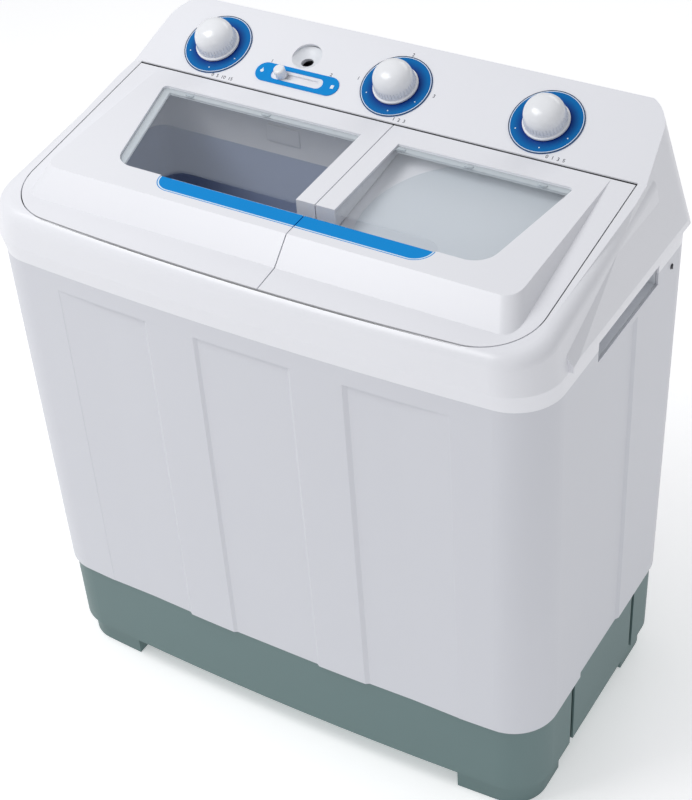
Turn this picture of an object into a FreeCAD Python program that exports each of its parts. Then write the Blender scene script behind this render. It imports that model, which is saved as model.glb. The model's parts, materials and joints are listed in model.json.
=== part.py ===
"""Twin tub washer: wash tub with a pulsator on the left, spin basket on the right.

Frame: millimetres, +Z up, front towards -Y, right towards +X, and the origin on
the floor under the middle of the cabinet.
"""
import FreeCAD, Part
import math
import os
import re

import Sketcher
from FreeCAD import Placement, Rotation, Vector

doc = FreeCAD.newDocument("twin_tub_washer")
sheet = doc.addObject("Spreadsheet::Sheet", "sizes")

# ---------------------------------------------------------------- driving sizes
SIZES = {
    # cabinet, skirt and feet
    "cabinet_half_width": 376.0,
    "cabinet_front": 203.5,
    "cabinet_back": 215.5,
    "front_bow": 12.5,
    "corner_front": 60.0,
    "corner_back": 45.0,
    "side_taper": 4.4,
    "front_taper": 7.0,
    "back_taper": 15.0,
    "wall": 3.0,
    "seam_height": 665.0,
    "skirt_top": 149.0,
    "skirt_inset": 4.0,
    "foot_height": 36.6,
    "foot_size": 104.0,
    "foot_inset": 8.0,
    "skirt_slot_width": 9.0,
    "panel_depth": 3.0,
    "panel_ramp": 5.0,
    "panel_width": 124.0,
    "panel_pitch": 205.0,
    "panel_top": 640.0,
    # top deck and control panel
    "rim_overhang": 6.0,
    "undercut_height": 25.0,
    "rim_round": 18.0,
    "deck_slope": 8.4,
    "panel_slope": 25.0,
    "gap_line": 101.0,
    "gap_height": 781.5,
    "side_lean": 17.0,
    "rim_lean": 10.0,
    "cheek_step": 5.0,
    "lid_seat_depth": 22.0,
    "tub_rim": 700.0,
    # lids
    "lid_half_width": 345.0,
    "lid_front": 198.0,
    "lid_corner": 70.0,
    "lid_gap": 1.5,
    "lid_split": 30.0,
    "lid_skin": 3.0,
    "lid_skirt": 20.0,
    "plateau_slope": 2.8,
    "plateau_front": 145.0,
    "facet_foot": 174.0,
    "plateau_half_back": 315.0,
    "plateau_half_front": 315.0,
    "facet_half_front": 328.0,
    "bar_width": 25.0,
    "window_back": 66.0,
    "window_front": 105.0,
    "pane": 3.0,
    "pane_lap": 6.0,
    "handle_left": 170.0,
    "handle_right": 199.0,
    "handle_centre": 107.0,
    "handle_round": 24.0,
    "hinge_back": 92.0,
    "hinge_height": 770.0,
    "hinge_pin": 2.5,
    "hinge_knuckle": 5.0,
    "hinge_length": 14.0,
    # tubs
    "wash_left": 332.0,
    "wash_right": 12.0,
    "wash_front": 160.0,
    "wash_back": 98.0,
    "wash_corner": 24.0,
    "wash_floor": 262.0,
    "filter_depth": 18.5,
    "spin_across": 190.0,
    "spin_along": -30.0,
    "spin_tub_radius": 125.0,
    "spin_floor": 245.0,
    "basket_radius": 110.0,
    "basket_floor": 285.0,
    "basket_top": 650.0,
    # drive
    "pulsator_across": -160.0,
    "pulsator_along": -25.0,
    "pulsator_radius": 92.0,
    "wash_shaft": 8.0,
    "running_gap": 0.05,
    "belt_height": 80.0,
    "wash_pulley": 75.0,
    "motor_pulley": 24.0,
    "motor_offset": 125.0,
    "motor_radius": 62.0,
    "motor_height": 95.0,
    "spin_shaft": 7.0,
    "spin_motor_floor": 72.0,
    "brake_radius": 52.0,
    # controls
    "dial_slope_place": 53.0,
    "dial_radius": 46.0,
    "dial_plate": 1.2,
    "knob_radius": 29.0,
    "knob_height": 36.0,
    "knob_lift": 0.6,
    "knob_shaft": 3.0,
    "wash_dial": -255.0,
    "selector_dial": 7.0,
    "spin_dial": 210.0,
    "slider_left": 184.0,
    "slider_right": 64.0,
    "slider_place": 30.0,
    "slider_round": 14.0,
    "slider_travel": 45.0,
    "slot_round": 8.0,
}

for row, (alias, amount) in enumerate(SIZES.items(), start=1):
    cell = "B{}".format(row)
    sheet.set("A{}".format(row), alias)
    sheet.set(cell, str(amount))
    sheet.setAlias(cell, alias)
doc.recompute()


def size(alias):
    """One driving size, read from the sheet."""
    return float(sheet.get(alias))


def bound(text):
    """The same formula with every size name pointed at the sheet."""
    return re.sub(r"[a-z]+(_[a-z]+)+|wall|pane", lambda word: "sizes." + word.group(0), str(text))


def amount(text):
    """The number that a formula of sizes gives now."""
    return float(sheet.evalExpression(str(text)))


nodes = {}


def keep(label, thing):
    """Marks one document object as a sub-part under its own label."""
    thing.Label = label
    nodes[label] = thing
    return thing


# ---------------------------------------------------------------- parametric helpers
def place(thing, spot):
    """Ties an object's position to formulas of sizes."""
    for axis, text in zip("xyz", spot):
        thing.setExpression("Placement.Base." + axis, bound(text))


def primitive(kind, name, spot, **formulas):
    """A Part primitive whose every size and place is a formula of the sheet."""
    thing = doc.addObject("Part::" + kind, name)
    for key, text in formulas.items():
        thing.setExpression(key, bound(text))
    place(thing, spot)
    return thing


def cylinder(name, spot, radius, height):
    return primitive("Cylinder", name, spot, Radius=radius, Height=height)


def box(name, spot, length, width, height):
    return primitive("Box", name, spot, Length=length, Width=width, Height=height)


def cut(name, base, tool):
    thing = doc.addObject("Part::Cut", name)
    thing.Base = base
    thing.Tool = tool
    return thing


def fuse(name, shapes):
    thing = doc.addObject("Part::MultiFuse", name)
    thing.Shapes = shapes
    return thing


def group(name, shapes):
    """Separate solids kept together as one object."""
    thing = doc.addObject("Part::Compound", name)
    thing.Links = shapes
    return thing


def origin_plane(body, role):
    for feature in body.Origin.OriginFeatures:
        if feature.Role == role:
            return feature
    raise ValueError(role)


def outline_sketch(body, role, corners):
    """A closed sketch whose corners are tied to formulas of sizes."""
    sketch = body.newObject("Sketcher::SketchObject", body.Name + "_sketch")
    sketch.AttachmentSupport = [(origin_plane(body, role), "")]
    sketch.MapMode = "FlatFace"
    points = [Vector(amount(across), amount(up), 0) for across, up in corners]
    count = len(points)
    for index in range(count):
        sketch.addGeometry(Part.LineSegment(points[index], points[(index + 1) % count]), False)
    for index in range(count):
        sketch.addConstraint(Sketcher.Constraint("Coincident", index, 2, (index + 1) % count, 1))
    for index, (across, up) in enumerate(corners):
        for kind, text, number in (("DistanceX", across, points[index].x), ("DistanceY", up, points[index].y)):
            name = "{}{}".format(kind[-1].lower(), index)
            place_in_sketch = sketch.addConstraint(Sketcher.Constraint(kind, -1, 1, index, 1, number))
            sketch.renameConstraint(place_in_sketch, name)
            sketch.setExpression("Constraints." + name, bound(text))
    return sketch


def turned(name, corners, spot=None, placement=None):
    """A body turned about its own Z from a profile of (radius, height) formulas."""
    body = doc.addObject("PartDesign::Body", name)
    sketch = outline_sketch(body, "XZ_Plane", corners)
    turn = body.newObject("PartDesign::Revolution", name + "_turn")
    turn.Profile = sketch
    turn.ReferenceAxis = (sketch, ["V_Axis"])
    turn.Angle = 360.0
    if spot:
        place(body, spot)
    if placement:
        body.Placement = placement
    return body


def shaped(name, shape, placement=None):
    """A sub-part whose surfaces need Part's own functions."""
    thing = doc.addObject("Part::Feature", name)
    thing.Shape = shape
    if placement:
        thing.Placement = placement
    return thing


# ---------------------------------------------------------------- shape helpers
def bowed_wire(height, half, front, back, bow):
    """Outline with straight sides and back, and a front that bows outward."""
    left_front = Vector(-half, -front, height)
    right_front = Vector(half, -front, height)
    right_back = Vector(half, back, height)
    left_back = Vector(-half, back, height)
    edges = [
        Part.Arc(left_front, Vector(0, -front - bow, height), right_front).toShape(),
        Part.LineSegment(right_front, right_back).toShape(),
        Part.LineSegment(right_back, left_back).toShape(),
        Part.LineSegment(left_back, left_front).toShape(),
    ]
    return Part.Wire(edges)


def round_uprights(solid, front_radius, back_radius):
    """Rounds the four upright corners, the front pair and the back pair."""
    front = []
    back = []
    for edge in solid.Edges:
        first, last = edge.Vertexes[0].Point, edge.Vertexes[-1].Point
        if abs(first.z - last.z) > 5.0:
            (front if first.y < 0 else back).append(edge)
    solid = solid.makeFillet(front_radius, front) if front_radius > 0 else solid
    if back_radius > 0:
        back = [edge for edge in solid.Edges
                if edge.Vertexes[0].Point.y > 0 and edge.Vertexes[-1].Point.y > 0
                and abs(edge.Vertexes[0].Point.z - edge.Vertexes[-1].Point.z) > 5.0]
        solid = solid.makeFillet(back_radius, back)
    return solid


def bowed_block(low, high, front_radius, back_radius):
    """Solid between two bowed outlines, each (height, half, front, back, bow)."""
    solid = Part.makeLoft([bowed_wire(*low), bowed_wire(*high)], True, True)
    return round_uprights(solid, front_radius, back_radius)


def rounded_wire(section, front_radius, back_radius):
    """The bowed outline with its four corners rounded, as one closed wire."""
    low = section
    high = (section[0] + 10.0,) + tuple(section[1:])
    block = bowed_block(low, high, front_radius, back_radius)
    face = min(block.Faces, key=lambda side: side.CenterOfMass.z)
    return face.OuterWire


def slab(x_low, x_high, y_low, y_high, z_low, z_high):
    """Plain box from its six limits."""
    corner = Vector(x_low, y_low, z_low)
    return Part.makeBox(x_high - x_low, y_high - y_low, z_high - z_low, corner)


def prism_across(points, half):
    """Side profile of (y, z) points carried across the machine from -half to +half."""
    ring = [Vector(-half, along, up) for along, up in points]
    face = Part.Face(Part.makePolygon(ring + ring[:1]))
    return face.extrude(Vector(2 * half, 0, 0))


def upright_prism(points, low, high, radii=None):
    """Plan outline of (x, y) points carried upwards, with some corners rounded."""
    ring = [Vector(across, along, low) for across, along in points]
    solid = Part.Face(Part.makePolygon(ring + ring[:1])).extrude(Vector(0, 0, high - low))
    for index, radius in (radii or {}).items():
        across, along = points[index]
        edges = [edge for edge in solid.Edges
                 if abs(edge.Vertexes[0].Point.z - edge.Vertexes[-1].Point.z) > 1.0
                 and math.hypot(edge.Vertexes[0].Point.x - across, edge.Vertexes[0].Point.y - along) < 0.01]
        solid = solid.makeFillet(radius, edges)
    return solid


def stadium(x_low, x_high, y_centre, radius, low, high):
    """Long hole shape with round ends."""
    middle = slab(x_low + radius, x_high - radius, y_centre - radius, y_centre + radius, low, high)
    ends = [Part.makeCylinder(radius, high - low, Vector(x, y_centre, low))
            for x in (x_low + radius, x_high - radius)]
    return middle.fuse(ends).removeSplitter()


def rod(start, end, radius):
    """Straight round bar between two points."""
    return Part.makeCylinder(radius, (end - start).Length, start, end - start)


def beyond(side, first, second, third, depth=500.0):
    """Solid filling the outer side, left (-1) or right (+1), of the plane through three points."""
    normal = (second - first).cross(third - first).normalize()
    if normal.x * side < 0:
        normal = -normal
    across = (second - first).normalize()
    up = normal.cross(across)
    middle = (first + second + third) / 3
    ring = [middle + across * a * depth + up * b * depth for a, b in ((-1, -1), (1, -1), (1, 1), (-1, 1))]
    return Part.Face(Part.makePolygon(ring + ring[:1])).extrude(normal * depth)


# ---------------------------------------------------------------- shared geometry
wall = size("wall")
slope = math.tan(math.radians(size("deck_slope")))
plateau_fall = math.tan(math.radians(size("plateau_slope")))
gap_y = size("gap_line")
gap_z = size("gap_height")
half_top = size("cabinet_half_width")
seam = size("seam_height")
skirt_top = size("skirt_top")
split = size("lid_split")


def deck_z(along):
    """Height of the deck's sloping top surface."""
    return gap_z + (along - gap_y) * slope


def plateau_z(along):
    """Height of the raised middle of the lids."""
    return gap_z + (along - gap_y) * plateau_fall


def cabinet_section(height, inset):
    """The cabinet's tapered outline at one height, moved inward by an inset."""
    share = (seam - height) / (seam - skirt_top)
    return (height,
            half_top - size("side_taper") * share - inset,
            size("cabinet_front") - size("front_taper") * share - inset,
            size("cabinet_back") - size("back_taper") * share - inset,
            size("front_bow"))


def cabinet_block(low, high, inset):
    """Solid of the cabinet's outer form between two heights."""
    return bowed_block(cabinet_section(low, inset), cabinet_section(high, inset),
                       size("corner_front") - inset, size("corner_back") - inset)


panel_turn = Rotation(Vector(1, 0, 0), size("panel_slope"))


def on_panel(across, up_slope, lift=0.0):
    """Placement on the control panel: across, up its slope and out of its face."""
    return Placement(Vector(across, gap_y, gap_z) + panel_turn.multVec(Vector(0, up_slope, lift)), panel_turn)


# ---------------------------------------------------------------- skirt and feet
foot_height = size("foot_height")
skirt_inset = size("skirt_inset")
skirt = cabinet_block(foot_height, skirt_top, skirt_inset)
skirt = skirt.cut(cabinet_block(foot_height + wall, skirt_top + 1, skirt_inset + wall))
slot_half = size("skirt_slot_width") / 2
for along in (-80.0, 108.0):
    for side in (-1, 1):
        inner = side * (half_top - 18)
        outer = side * (half_top + 5)
        skirt = skirt.cut(slab(min(inner, outer), max(inner, outer), along - slot_half, along + slot_half,
                               foot_height - 1, skirt_top - 8))
keep("base_skirt", shaped("base_skirt", skirt))

foot_size = size("foot_size")
foot_inset = skirt_inset + size("foot_inset")
foot_form = cabinet_block(0, foot_height, foot_inset)
for name, x_side, y_side in (("front_left", -1, -1), ("front_right", 1, -1),
                             ("rear_left", -1, 1), ("rear_right", 1, 1)):
    x_edge = x_side * half_top
    y_edge = -size("cabinet_front") - size("front_bow") if y_side < 0 else size("cabinet_back")
    x_in = x_edge - x_side * (foot_size + foot_inset + size("side_taper"))
    y_in = y_edge - y_side * (foot_size + foot_inset)
    block = slab(min(x_edge, x_in), max(x_edge, x_in), min(y_edge, y_in), max(y_edge, y_in), 0, foot_height)
    keep("foot_" + name, shaped("foot_" + name, foot_form.common(block)))

# ---------------------------------------------------------------- cabinet shell
panel_depth = size("panel_depth")
panel_half = size("panel_width") / 2
panel_top = size("panel_top")
panel_ramp = size("panel_ramp")


def sloped_room(plan_at):
    """Room of one shallow panel: its plan follows the cabinet's leaning walls, and its sides slope."""
    rings = []
    for up in (skirt_top - 5, panel_top):
        ring = [Vector(across, along, up) for across, along in plan_at(cabinet_section(up, 0))]
        rings.append(Part.makePolygon(ring + ring[:1]))
    return Part.makeLoft(rings, True, True)


def front_room(place_x):
    def plan_at(section):
        face = -section[2] - section[4] * (1 - (place_x / section[1]) ** 2)
        wide = panel_half + panel_ramp * 2
        return [(place_x - wide, face - panel_depth), (place_x + wide, face - panel_depth),
                (place_x + panel_half, face + panel_depth), (place_x - panel_half, face + panel_depth)]
    return sloped_room(plan_at)


def side_room(side):
    def plan_at(section):
        face = side * section[1]
        step = side * panel_depth
        return [(face + step, -64 - panel_ramp * 2), (face + step, 45 + panel_ramp * 2), (face - step, 45),
                (face - step, -64)]
    return sloped_room(plan_at)


panel_places = (-size("panel_pitch"), 0.0, size("panel_pitch"))
zones = [front_room(place_x) for place_x in panel_places] + [side_room(side) for side in (-1, 1)]
zones = zones[0].fuse(zones[1:])
backing = [slab(place_x - panel_half - 12, place_x + panel_half + 12, -300, -100, 0, panel_top + 4)
           for place_x in panel_places]
backing += [slab(side * 350 - 60, side * 350 + 60, -86, 67, 0, panel_top + 4) for side in (-1, 1)]
backing = backing[0].fuse(backing[1:])
outer = cabinet_block(skirt_top, seam, 0)
recess = zones.common(outer.cut(cabinet_block(skirt_top - 1, seam + 1, panel_depth)))
inner = cabinet_block(skirt_top - 1, seam + 1, wall)
ribs = backing.common(inner.cut(cabinet_block(skirt_top - 2, seam + 2, wall + panel_depth)))
shell = outer.cut(recess).cut(inner.cut(ribs))
keep("cabinet_shell", shaped("cabinet_shell", shell))

cover_plate = 2.0
screw_head = 2.5
cover = cabinet_block(skirt_top + 1, seam - 1, -cover_plate).cut(outer).common(slab(-250, 250, 150, 300, 185, 610))
keep("rear_cover", shaped("rear_cover", cover))
screws = []
for across in (-235.0, 0.0, 235.0):
    for up in (200.0, 595.0):
        face_y = cabinet_section(up, -cover_plate)[3]
        head = rod(Vector(across, face_y - 1, up), Vector(across, face_y + screw_head, up), 4.0)
        screws.append(head.cut(cover))
keep("rear_cover_screws", shaped("rear_cover_screws", Part.makeCompound(screws)))

# ---------------------------------------------------------------- top deck
overhang = size("rim_overhang")
undercut = size("undercut_height")
lean = math.tan(math.radians(size("side_lean")))
panel_rise = math.tan(math.radians(size("panel_slope")))
panel_back = size("cabinet_back") - 8.0
crown = gap_z + (panel_back - gap_y) * panel_rise


def deck_solid(inset):
    """Closed outer form of the deck, or its hollow when drawn in by a wall."""
    base = seam - (1.0 if inset else 0.0)
    ledge = seam + undercut
    top = crown + 40
    front_radius = size("corner_front") - inset
    back_radius = size("corner_back") - inset
    bow = size("front_bow")
    front = size("cabinet_front") - inset
    back = size("cabinet_back") - inset
    rim_half = half_top + overhang - size("cheek_step") - inset
    rim_in = (top - ledge) * math.tan(math.radians(size("rim_lean")))
    seam_ring = rounded_wire((base, half_top - inset, front, back, bow), front_radius, back_radius)
    ledge_ring = rounded_wire((ledge, rim_half, front + overhang, back, bow), front_radius, back_radius)
    top_ring = rounded_wire((top, rim_half - rim_in, front + overhang - 4, back, bow), front_radius, back_radius)
    lower = Part.makeLoft([seam_ring, ledge_ring], True, True)
    upper = Part.makeLoft([ledge_ring, top_ring], True, True)
    rim = upper.common(prism_across([(-260, seam), (260, seam), (260, deck_z(260) - inset),
                                     (-260, deck_z(-260) - inset)], 450))
    level = [edge for edge in rim.Edges
             if min(vertex.Point.z - deck_z(vertex.Point.y) + inset for vertex in edge.Vertexes) > -0.01]
    rim = rim.makeFillet(size("rim_round") - inset, level)
    # the left half is kept and mirrored, so both corners are the same surface
    rim = rim.common(slab(-450, 0, -300, gap_y + 20, seam, top))
    rim = rim.fuse(rim.mirror(Vector(0, 0, 0), Vector(1, 0, 0)))

    # the leaning cheeks and the control panel's housing, one form from the grips to the back
    cheek = half_top + overhang - inset
    cheek_low = ledge + 10
    house_top = crown - inset
    top_half = cheek - (house_top - cheek_low) * lean
    ring = [Vector(-cheek, -150, ledge), Vector(cheek, -150, ledge), Vector(cheek, -150, cheek_low),
            Vector(top_half, -150, house_top), Vector(-top_half, -150, house_top), Vector(-cheek, -150, cheek_low)]
    leaning = Part.Face(Part.makePolygon(ring + ring[:1])).extrude(Vector(0, 400, 0))
    for side in (-1, 1):
        leaf_foot = Vector(side * (cheek - 1), -125 + inset, cheek_low + 2)
        leaf_tip = Vector(side * (cheek - 18.5), 24 + inset, cheek_low + 60)
        leaf_side = Vector(side * (cheek - 18), -66 + inset, cheek_low + 41)
        leaning = leaning.cut(beyond(side, leaf_foot, leaf_tip, leaf_side))
    panel_drop = inset / math.cos(math.radians(size("panel_slope")))
    cheek_start = -140.0 + inset
    profile = [(cheek_start, ledge), (back, ledge), (back, crown - 26), (panel_back + 2 - inset, house_top),
               (panel_back - 8, house_top - 8 * panel_rise), (gap_y, gap_z - panel_drop),
               (cheek_start, deck_z(cheek_start) - panel_drop)]
    house = prism_across(profile, 450).common(leaning)
    corners = [edge for edge in house.Edges
               if all(abs(vertex.Point.y - back) < 0.1 for vertex in edge.Vertexes)
               and abs(edge.Vertexes[0].Point.z - edge.Vertexes[-1].Point.z) > 20]
    house = house.makeFillet(back_radius, corners)
    return lower.fuse([rim, house]).removeSplitter()


lid_gap = size("lid_gap")
seat_depth = size("lid_seat_depth")
lid_skin = size("lid_skin")


def lid_block(low, high, grow):
    """Upright block of the lids' joint outline, grown or drawn in."""
    half = size("lid_half_width") + grow
    section = (half, size("lid_front") + grow, gap_y - lid_gap + grow, size("front_bow"))
    return bowed_block((low,) + section, (high,) + section, size("lid_corner") + grow, 0.0)


def above_deck(drop):
    """Everything above a plane that lies a given depth under the deck's slope."""
    return prism_across([(-260, deck_z(-260) - drop), (260, deck_z(260) - drop), (260, 950), (-260, 950)], 420)


def below_deck(drop):
    """Everything below that plane."""
    return prism_across([(-260, 300), (260, 300), (260, deck_z(260) - drop), (-260, deck_z(-260) - drop)], 420)


lid_half = size("lid_half_width")
seat = lid_block(600, 950, lid_gap).common(above_deck(seat_depth))
lip_under = gap_z - 3.5
hinge_room = prism_across([(gap_y - 5, deck_z(gap_y - 5) - seat_depth), (gap_y + 5, deck_z(gap_y + 5) - seat_depth),
                           (gap_y + 5, lip_under), (gap_y - 5, lip_under)], lid_half + lid_gap)
seat_walls = lid_block(600, 950, lid_gap + wall).common(above_deck(seat_depth + wall))
hinge_walls = prism_across([(gap_y - 5, deck_z(gap_y - 5) - seat_depth - wall),
                            (gap_y + 5 + wall, deck_z(gap_y + 5) - seat_depth - wall),
                            (gap_y + 5 + wall, lip_under + wall), (gap_y - 5, lip_under + wall)],
                           lid_half + lid_gap + wall)
# the front rail of the rim is solid, because it is only a little wider than two walls
front_rail = slab(-450, 450, -300, -size("lid_front") - 1, seam + undercut + 12, 950)
form = deck_solid(0.0)
hollow = deck_solid(wall).cut(seat_walls).cut(hinge_walls).cut(front_rail)
deck = form.cut(hollow).cut(seat.fuse(hinge_room))

# openings over the two tubs, with collars down to the tub rims
wash_plan = [(-size("wash_left"), -size("wash_front")), (size("wash_right"), -size("wash_front")),
             (size("wash_right"), size("wash_back")), (-size("wash_left"), size("wash_back"))]
wash_inside = [(-size("wash_left") + wall, -size("wash_front") + wall),
               (size("wash_right") - wall, -size("wash_front") + wall),
               (size("wash_right") - wall, size("wash_back") - wall),
               (-size("wash_left") + wall, size("wash_back") - wall)]
wash_round = dict.fromkeys(range(4), size("wash_corner"))
wash_round_in = dict.fromkeys(range(4), size("wash_corner") - wall)
tub_rim = size("tub_rim")
spin_centre = Vector(size("spin_across"), size("spin_along"), 0)
spin_radius = size("spin_tub_radius")
collars = upright_prism(wash_plan, tub_rim, 850, wash_round)
collars = collars.fuse(Part.makeCylinder(spin_radius, 850 - tub_rim, spin_centre + Vector(0, 0, tub_rim)))
openings = upright_prism(wash_inside, 600, 850, wash_round_in)
openings = openings.fuse(Part.makeCylinder(spin_radius - wall, 250, spin_centre + Vector(0, 0, 600)))
deck = deck.fuse(collars.common(below_deck(seat_depth))).cut(openings.common(below_deck(seat_depth - 1)))

# grips at both sides: a hole through the seam, with a cup behind it
grip_front, grip_back, grip_low, grip_high = -61.0, 107.0, 649.0, 676.0
grip_holes = [slab(min(side * 350, side * 420), max(side * 350, side * 420), grip_front, grip_back,
                   grip_low, grip_high) for side in (-1, 1)]
deck = deck.cut(grip_holes[0].fuse(grip_holes[1]))
shell = shell.cut(grip_holes[0].fuse(grip_holes[1]))
nodes["cabinet_shell"].Shape = shell
cup_face = half_top - wall - 0.6
cups = []
for side in (-1, 1):
    limits = sorted((side * cup_face, side * (cup_face - 30)))
    cup = slab(limits[0], limits[1], grip_front - 4, grip_back + 4, grip_low - 4, grip_high + 4)
    limits = sorted((side * (cup_face + 1), side * (cup_face - 27)))
    cups.append(cup.cut(slab(limits[0], limits[1], grip_front, grip_back, grip_low, grip_high)))
keep("grip_cups", shaped("grip_cups", Part.makeCompound(cups)))

# holes in the control panel
knob_shaft = size("knob_shaft")
fit_gap = size("running_gap")
dial_up = size("dial_slope_place")
dials = {"wash_timer": size("wash_dial"), "selector": size("selector_dial"), "spin_timer": size("spin_dial")}


def panel_tool(shape, across, up_slope, lift=0.0):
    """A shape built around the panel's own origin, moved onto the panel."""
    moved = shape.copy()
    moved.Placement = on_panel(across, up_slope, lift)
    return moved


for across in dials.values():
    deck = deck.cut(panel_tool(Part.makeCylinder(knob_shaft + fit_gap, 20, Vector(0, 0, -10)), across, dial_up))
slider_middle = -(size("slider_left") + size("slider_right")) / 2
slider_up = size("slider_place")
slot_half_length = size("slider_travel") / 2 + 9.0
slot = stadium(-slot_half_length, slot_half_length, 0, 4.0, -10, 10)
deck = deck.cut(panel_tool(slot, slider_middle, slider_up))
inlet_across, inlet_up = -128.0, 66.0
inlet_hole = stadium(-20, 20, 0, 19.9, -15, 15)
deck = deck.cut(panel_tool(inlet_hole, inlet_across, inlet_up))
# room behind the lids, so their back edges can turn down under the panel's lip
hinge_y = size("hinge_back")
hinge_z = size("hinge_height")
lid_edge_turn = 14.9
room_half = lid_half + lid_gap
turn_room = rod(Vector(-room_half, hinge_y, hinge_z), Vector(room_half, hinge_y, hinge_z), lid_edge_turn)
turn_room = turn_room.common(slab(-room_half, room_half, gap_y - 1, gap_y + 6, hinge_z - 4, hinge_z + 15))
lip_room = slab(-room_half, room_half, gap_y - 1, gap_y + 2, hinge_z, hinge_z + 15)
deck = deck.cut(turn_room).cut(lip_room)
keep("top_deck", shaped("top_deck", deck))

scoop = stadium(-20, 20, 0, 19.9, -14, 0)
scoop = scoop.fuse(Part.makeBox(50, 50, 2, Vector(-25, -25, -wall - 2)))
scoop = scoop.cut(Part.makeSphere(30, Vector(0, 4, 20)))
scoop = scoop.cut(Part.makeCylinder(8, 40, Vector(0, -4, -20)))
keep("inlet_scoop", shaped("inlet_scoop", scoop, on_panel(inlet_across, inlet_up)))

# ---------------------------------------------------------------- dials, knobs and slider
plate = size("dial_plate")
rings = []
for name, across in dials.items():
    ring = turned("dial_ring_" + name, [("knob_shaft + 2", "0"), ("dial_radius", "0"),
                                        ("dial_radius", "dial_plate - 0.4"), ("dial_radius - 0.4", "dial_plate"),
                                        ("knob_shaft + 2", "dial_plate")],
                  placement=on_panel(across, dial_up))
    rings.append(ring)
    knob = turned("knob_" + name, [
        ("0", "-wall - 16"), ("knob_shaft", "-wall - 16"), ("knob_shaft", "dial_plate + knob_lift"),
        ("knob_radius", "dial_plate + knob_lift"), ("knob_radius", "dial_plate + knob_lift + 3"),
        ("knob_radius - 2", "dial_plate + knob_lift + 4"), ("knob_radius - 3.5", "knob_height * 0.55"),
        ("knob_radius - 7", "knob_height * 0.78"), ("knob_radius - 13", "knob_height * 0.93"),
        ("knob_radius - 21", "knob_height"), ("0", "knob_height")],
        placement=on_panel(across, dial_up))
    keep(name + "_knob", knob)
    case = Part.makeBox(56, 50, 30, Vector(-28, -25, -wall - 36))
    case = case.cut(Part.makeCylinder(knob_shaft + fit_gap, 14, Vector(0, 0, -wall - 16.5)))
    neck = Part.makeCylinder(10, 6, Vector(0, 0, -wall - 6))
    neck = neck.cut(Part.makeCylinder(knob_shaft + fit_gap, 8, Vector(0, 0, -wall - 7)))
    keep(name + "_case", shaped(name + "_case", case.fuse(neck), on_panel(across, dial_up)))

keep("dial_rings", group("ring_group", rings))

bezel_round = size("slider_round")
bezel_half = (size("slider_left") - size("slider_right")) / 2
bezel = stadium(-bezel_half, bezel_half, 0, bezel_round, 0, plate)
bezel = bezel.cut(stadium(-slot_half_length - 6, slot_half_length + 6, 0, size("slot_round"), -1, plate + 1))
keep("slider_bezel", shaped("slider_bezel", bezel, on_panel(slider_middle, slider_up)))
slider_start = -size("slider_travel") / 2
grip = Part.makeCylinder(7.5, 14, Vector(slider_start, 0, 0.4))
grip = grip.makeFillet(3.0, [edge for edge in grip.Edges if edge.Vertexes[0].Point.z > 14][:1])
grip = grip.fuse(Part.makeBox(7, 7.4, 13, Vector(slider_start - 3.5, -3.7, -12)))
keep("slider_knob", shaped("slider_knob", grip, on_panel(slider_middle, slider_up)))

# ---------------------------------------------------------------- lids
def plateau(inset):
    """The raised middle of the lids: level top, sloping front and tapering side facets."""
    front, foot, back = -size("plateau_front") + inset, -size("facet_foot") + inset, gap_y - lid_gap
    low = size("lid_skirt") + 10 * (inset > 0)
    profile = [(back, deck_z(back) - low), (back, plateau_z(back) - inset), (front, plateau_z(front) - inset),
               (foot, deck_z(foot) - inset), (foot, deck_z(foot) - low)]
    solid = prism_across(profile, 400)
    for side in (-1, 1):
        at_back = Vector(side * (size("plateau_half_back") - inset), back, deck_z(back))
        at_front = Vector(side * (size("plateau_half_front") - inset), front, plateau_z(front))
        at_foot = Vector(side * (size("facet_half_front") - inset), foot, deck_z(foot))
        solid = solid.cut(beyond(side, at_back, at_front, at_foot))
    corner_edges = []
    for edge in solid.Edges:
        first, last = edge.Vertexes[0].Point, edge.Vertexes[-1].Point
        if min(first.y, last.y) < foot + 1 and abs(max(first.y, last.y) - front) < 1.0 and abs(first.x) > 250:
            corner_edges.append(edge)
    return solid.makeFillet(24.0 - inset, corner_edges)


def lids_form(inset):
    """Both lids as one closed form."""
    low = size("lid_skirt") + 10 * (inset > 0)
    flat = lid_block(600, 950, -inset).common(above_deck(low)).common(below_deck(inset))
    return flat.fuse(plateau(inset).common(lid_block(600, 950, -inset))).removeSplitter()


window_back = size("window_back")
window_front = -size("window_front")
bar = size("bar_width")
handle_low = -size("handle_left")
handle_high = size("handle_right")
handle_y = -size("handle_centre")
handle_round = size("handle_round")
handle_hole = stadium(handle_low, handle_high, handle_y, handle_round, 600, 950)
inside = lids_form(lid_skin)
half_gap = lid_gap / 2
bar_end = handle_y + handle_round
for centre in (split - half_gap - 1.5, split + half_gap + 1.5):
    inside = inside.cut(slab(centre - 1.5, centre + 1.5, -300, 300, 600, 950))
for low_x in (split - half_gap - bar + 8, split + half_gap + bar - 11):
    inside = inside.cut(slab(low_x, low_x + 3, bar_end, 84, 600, 950))
inside = inside.cut(slab(split - half_gap - bar, split + half_gap + bar, bar_end, bar_end + 3, 600, 950))
closed = lids_form(0.0)
frames = closed.cut(inside).cut(handle_hole)
open_back = prism_across([(84, 700), (120, 700), (120, deck_z(120) - lid_skin), (84, deck_z(84) - lid_skin)], 420)
frames = frames.cut(open_back)
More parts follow.
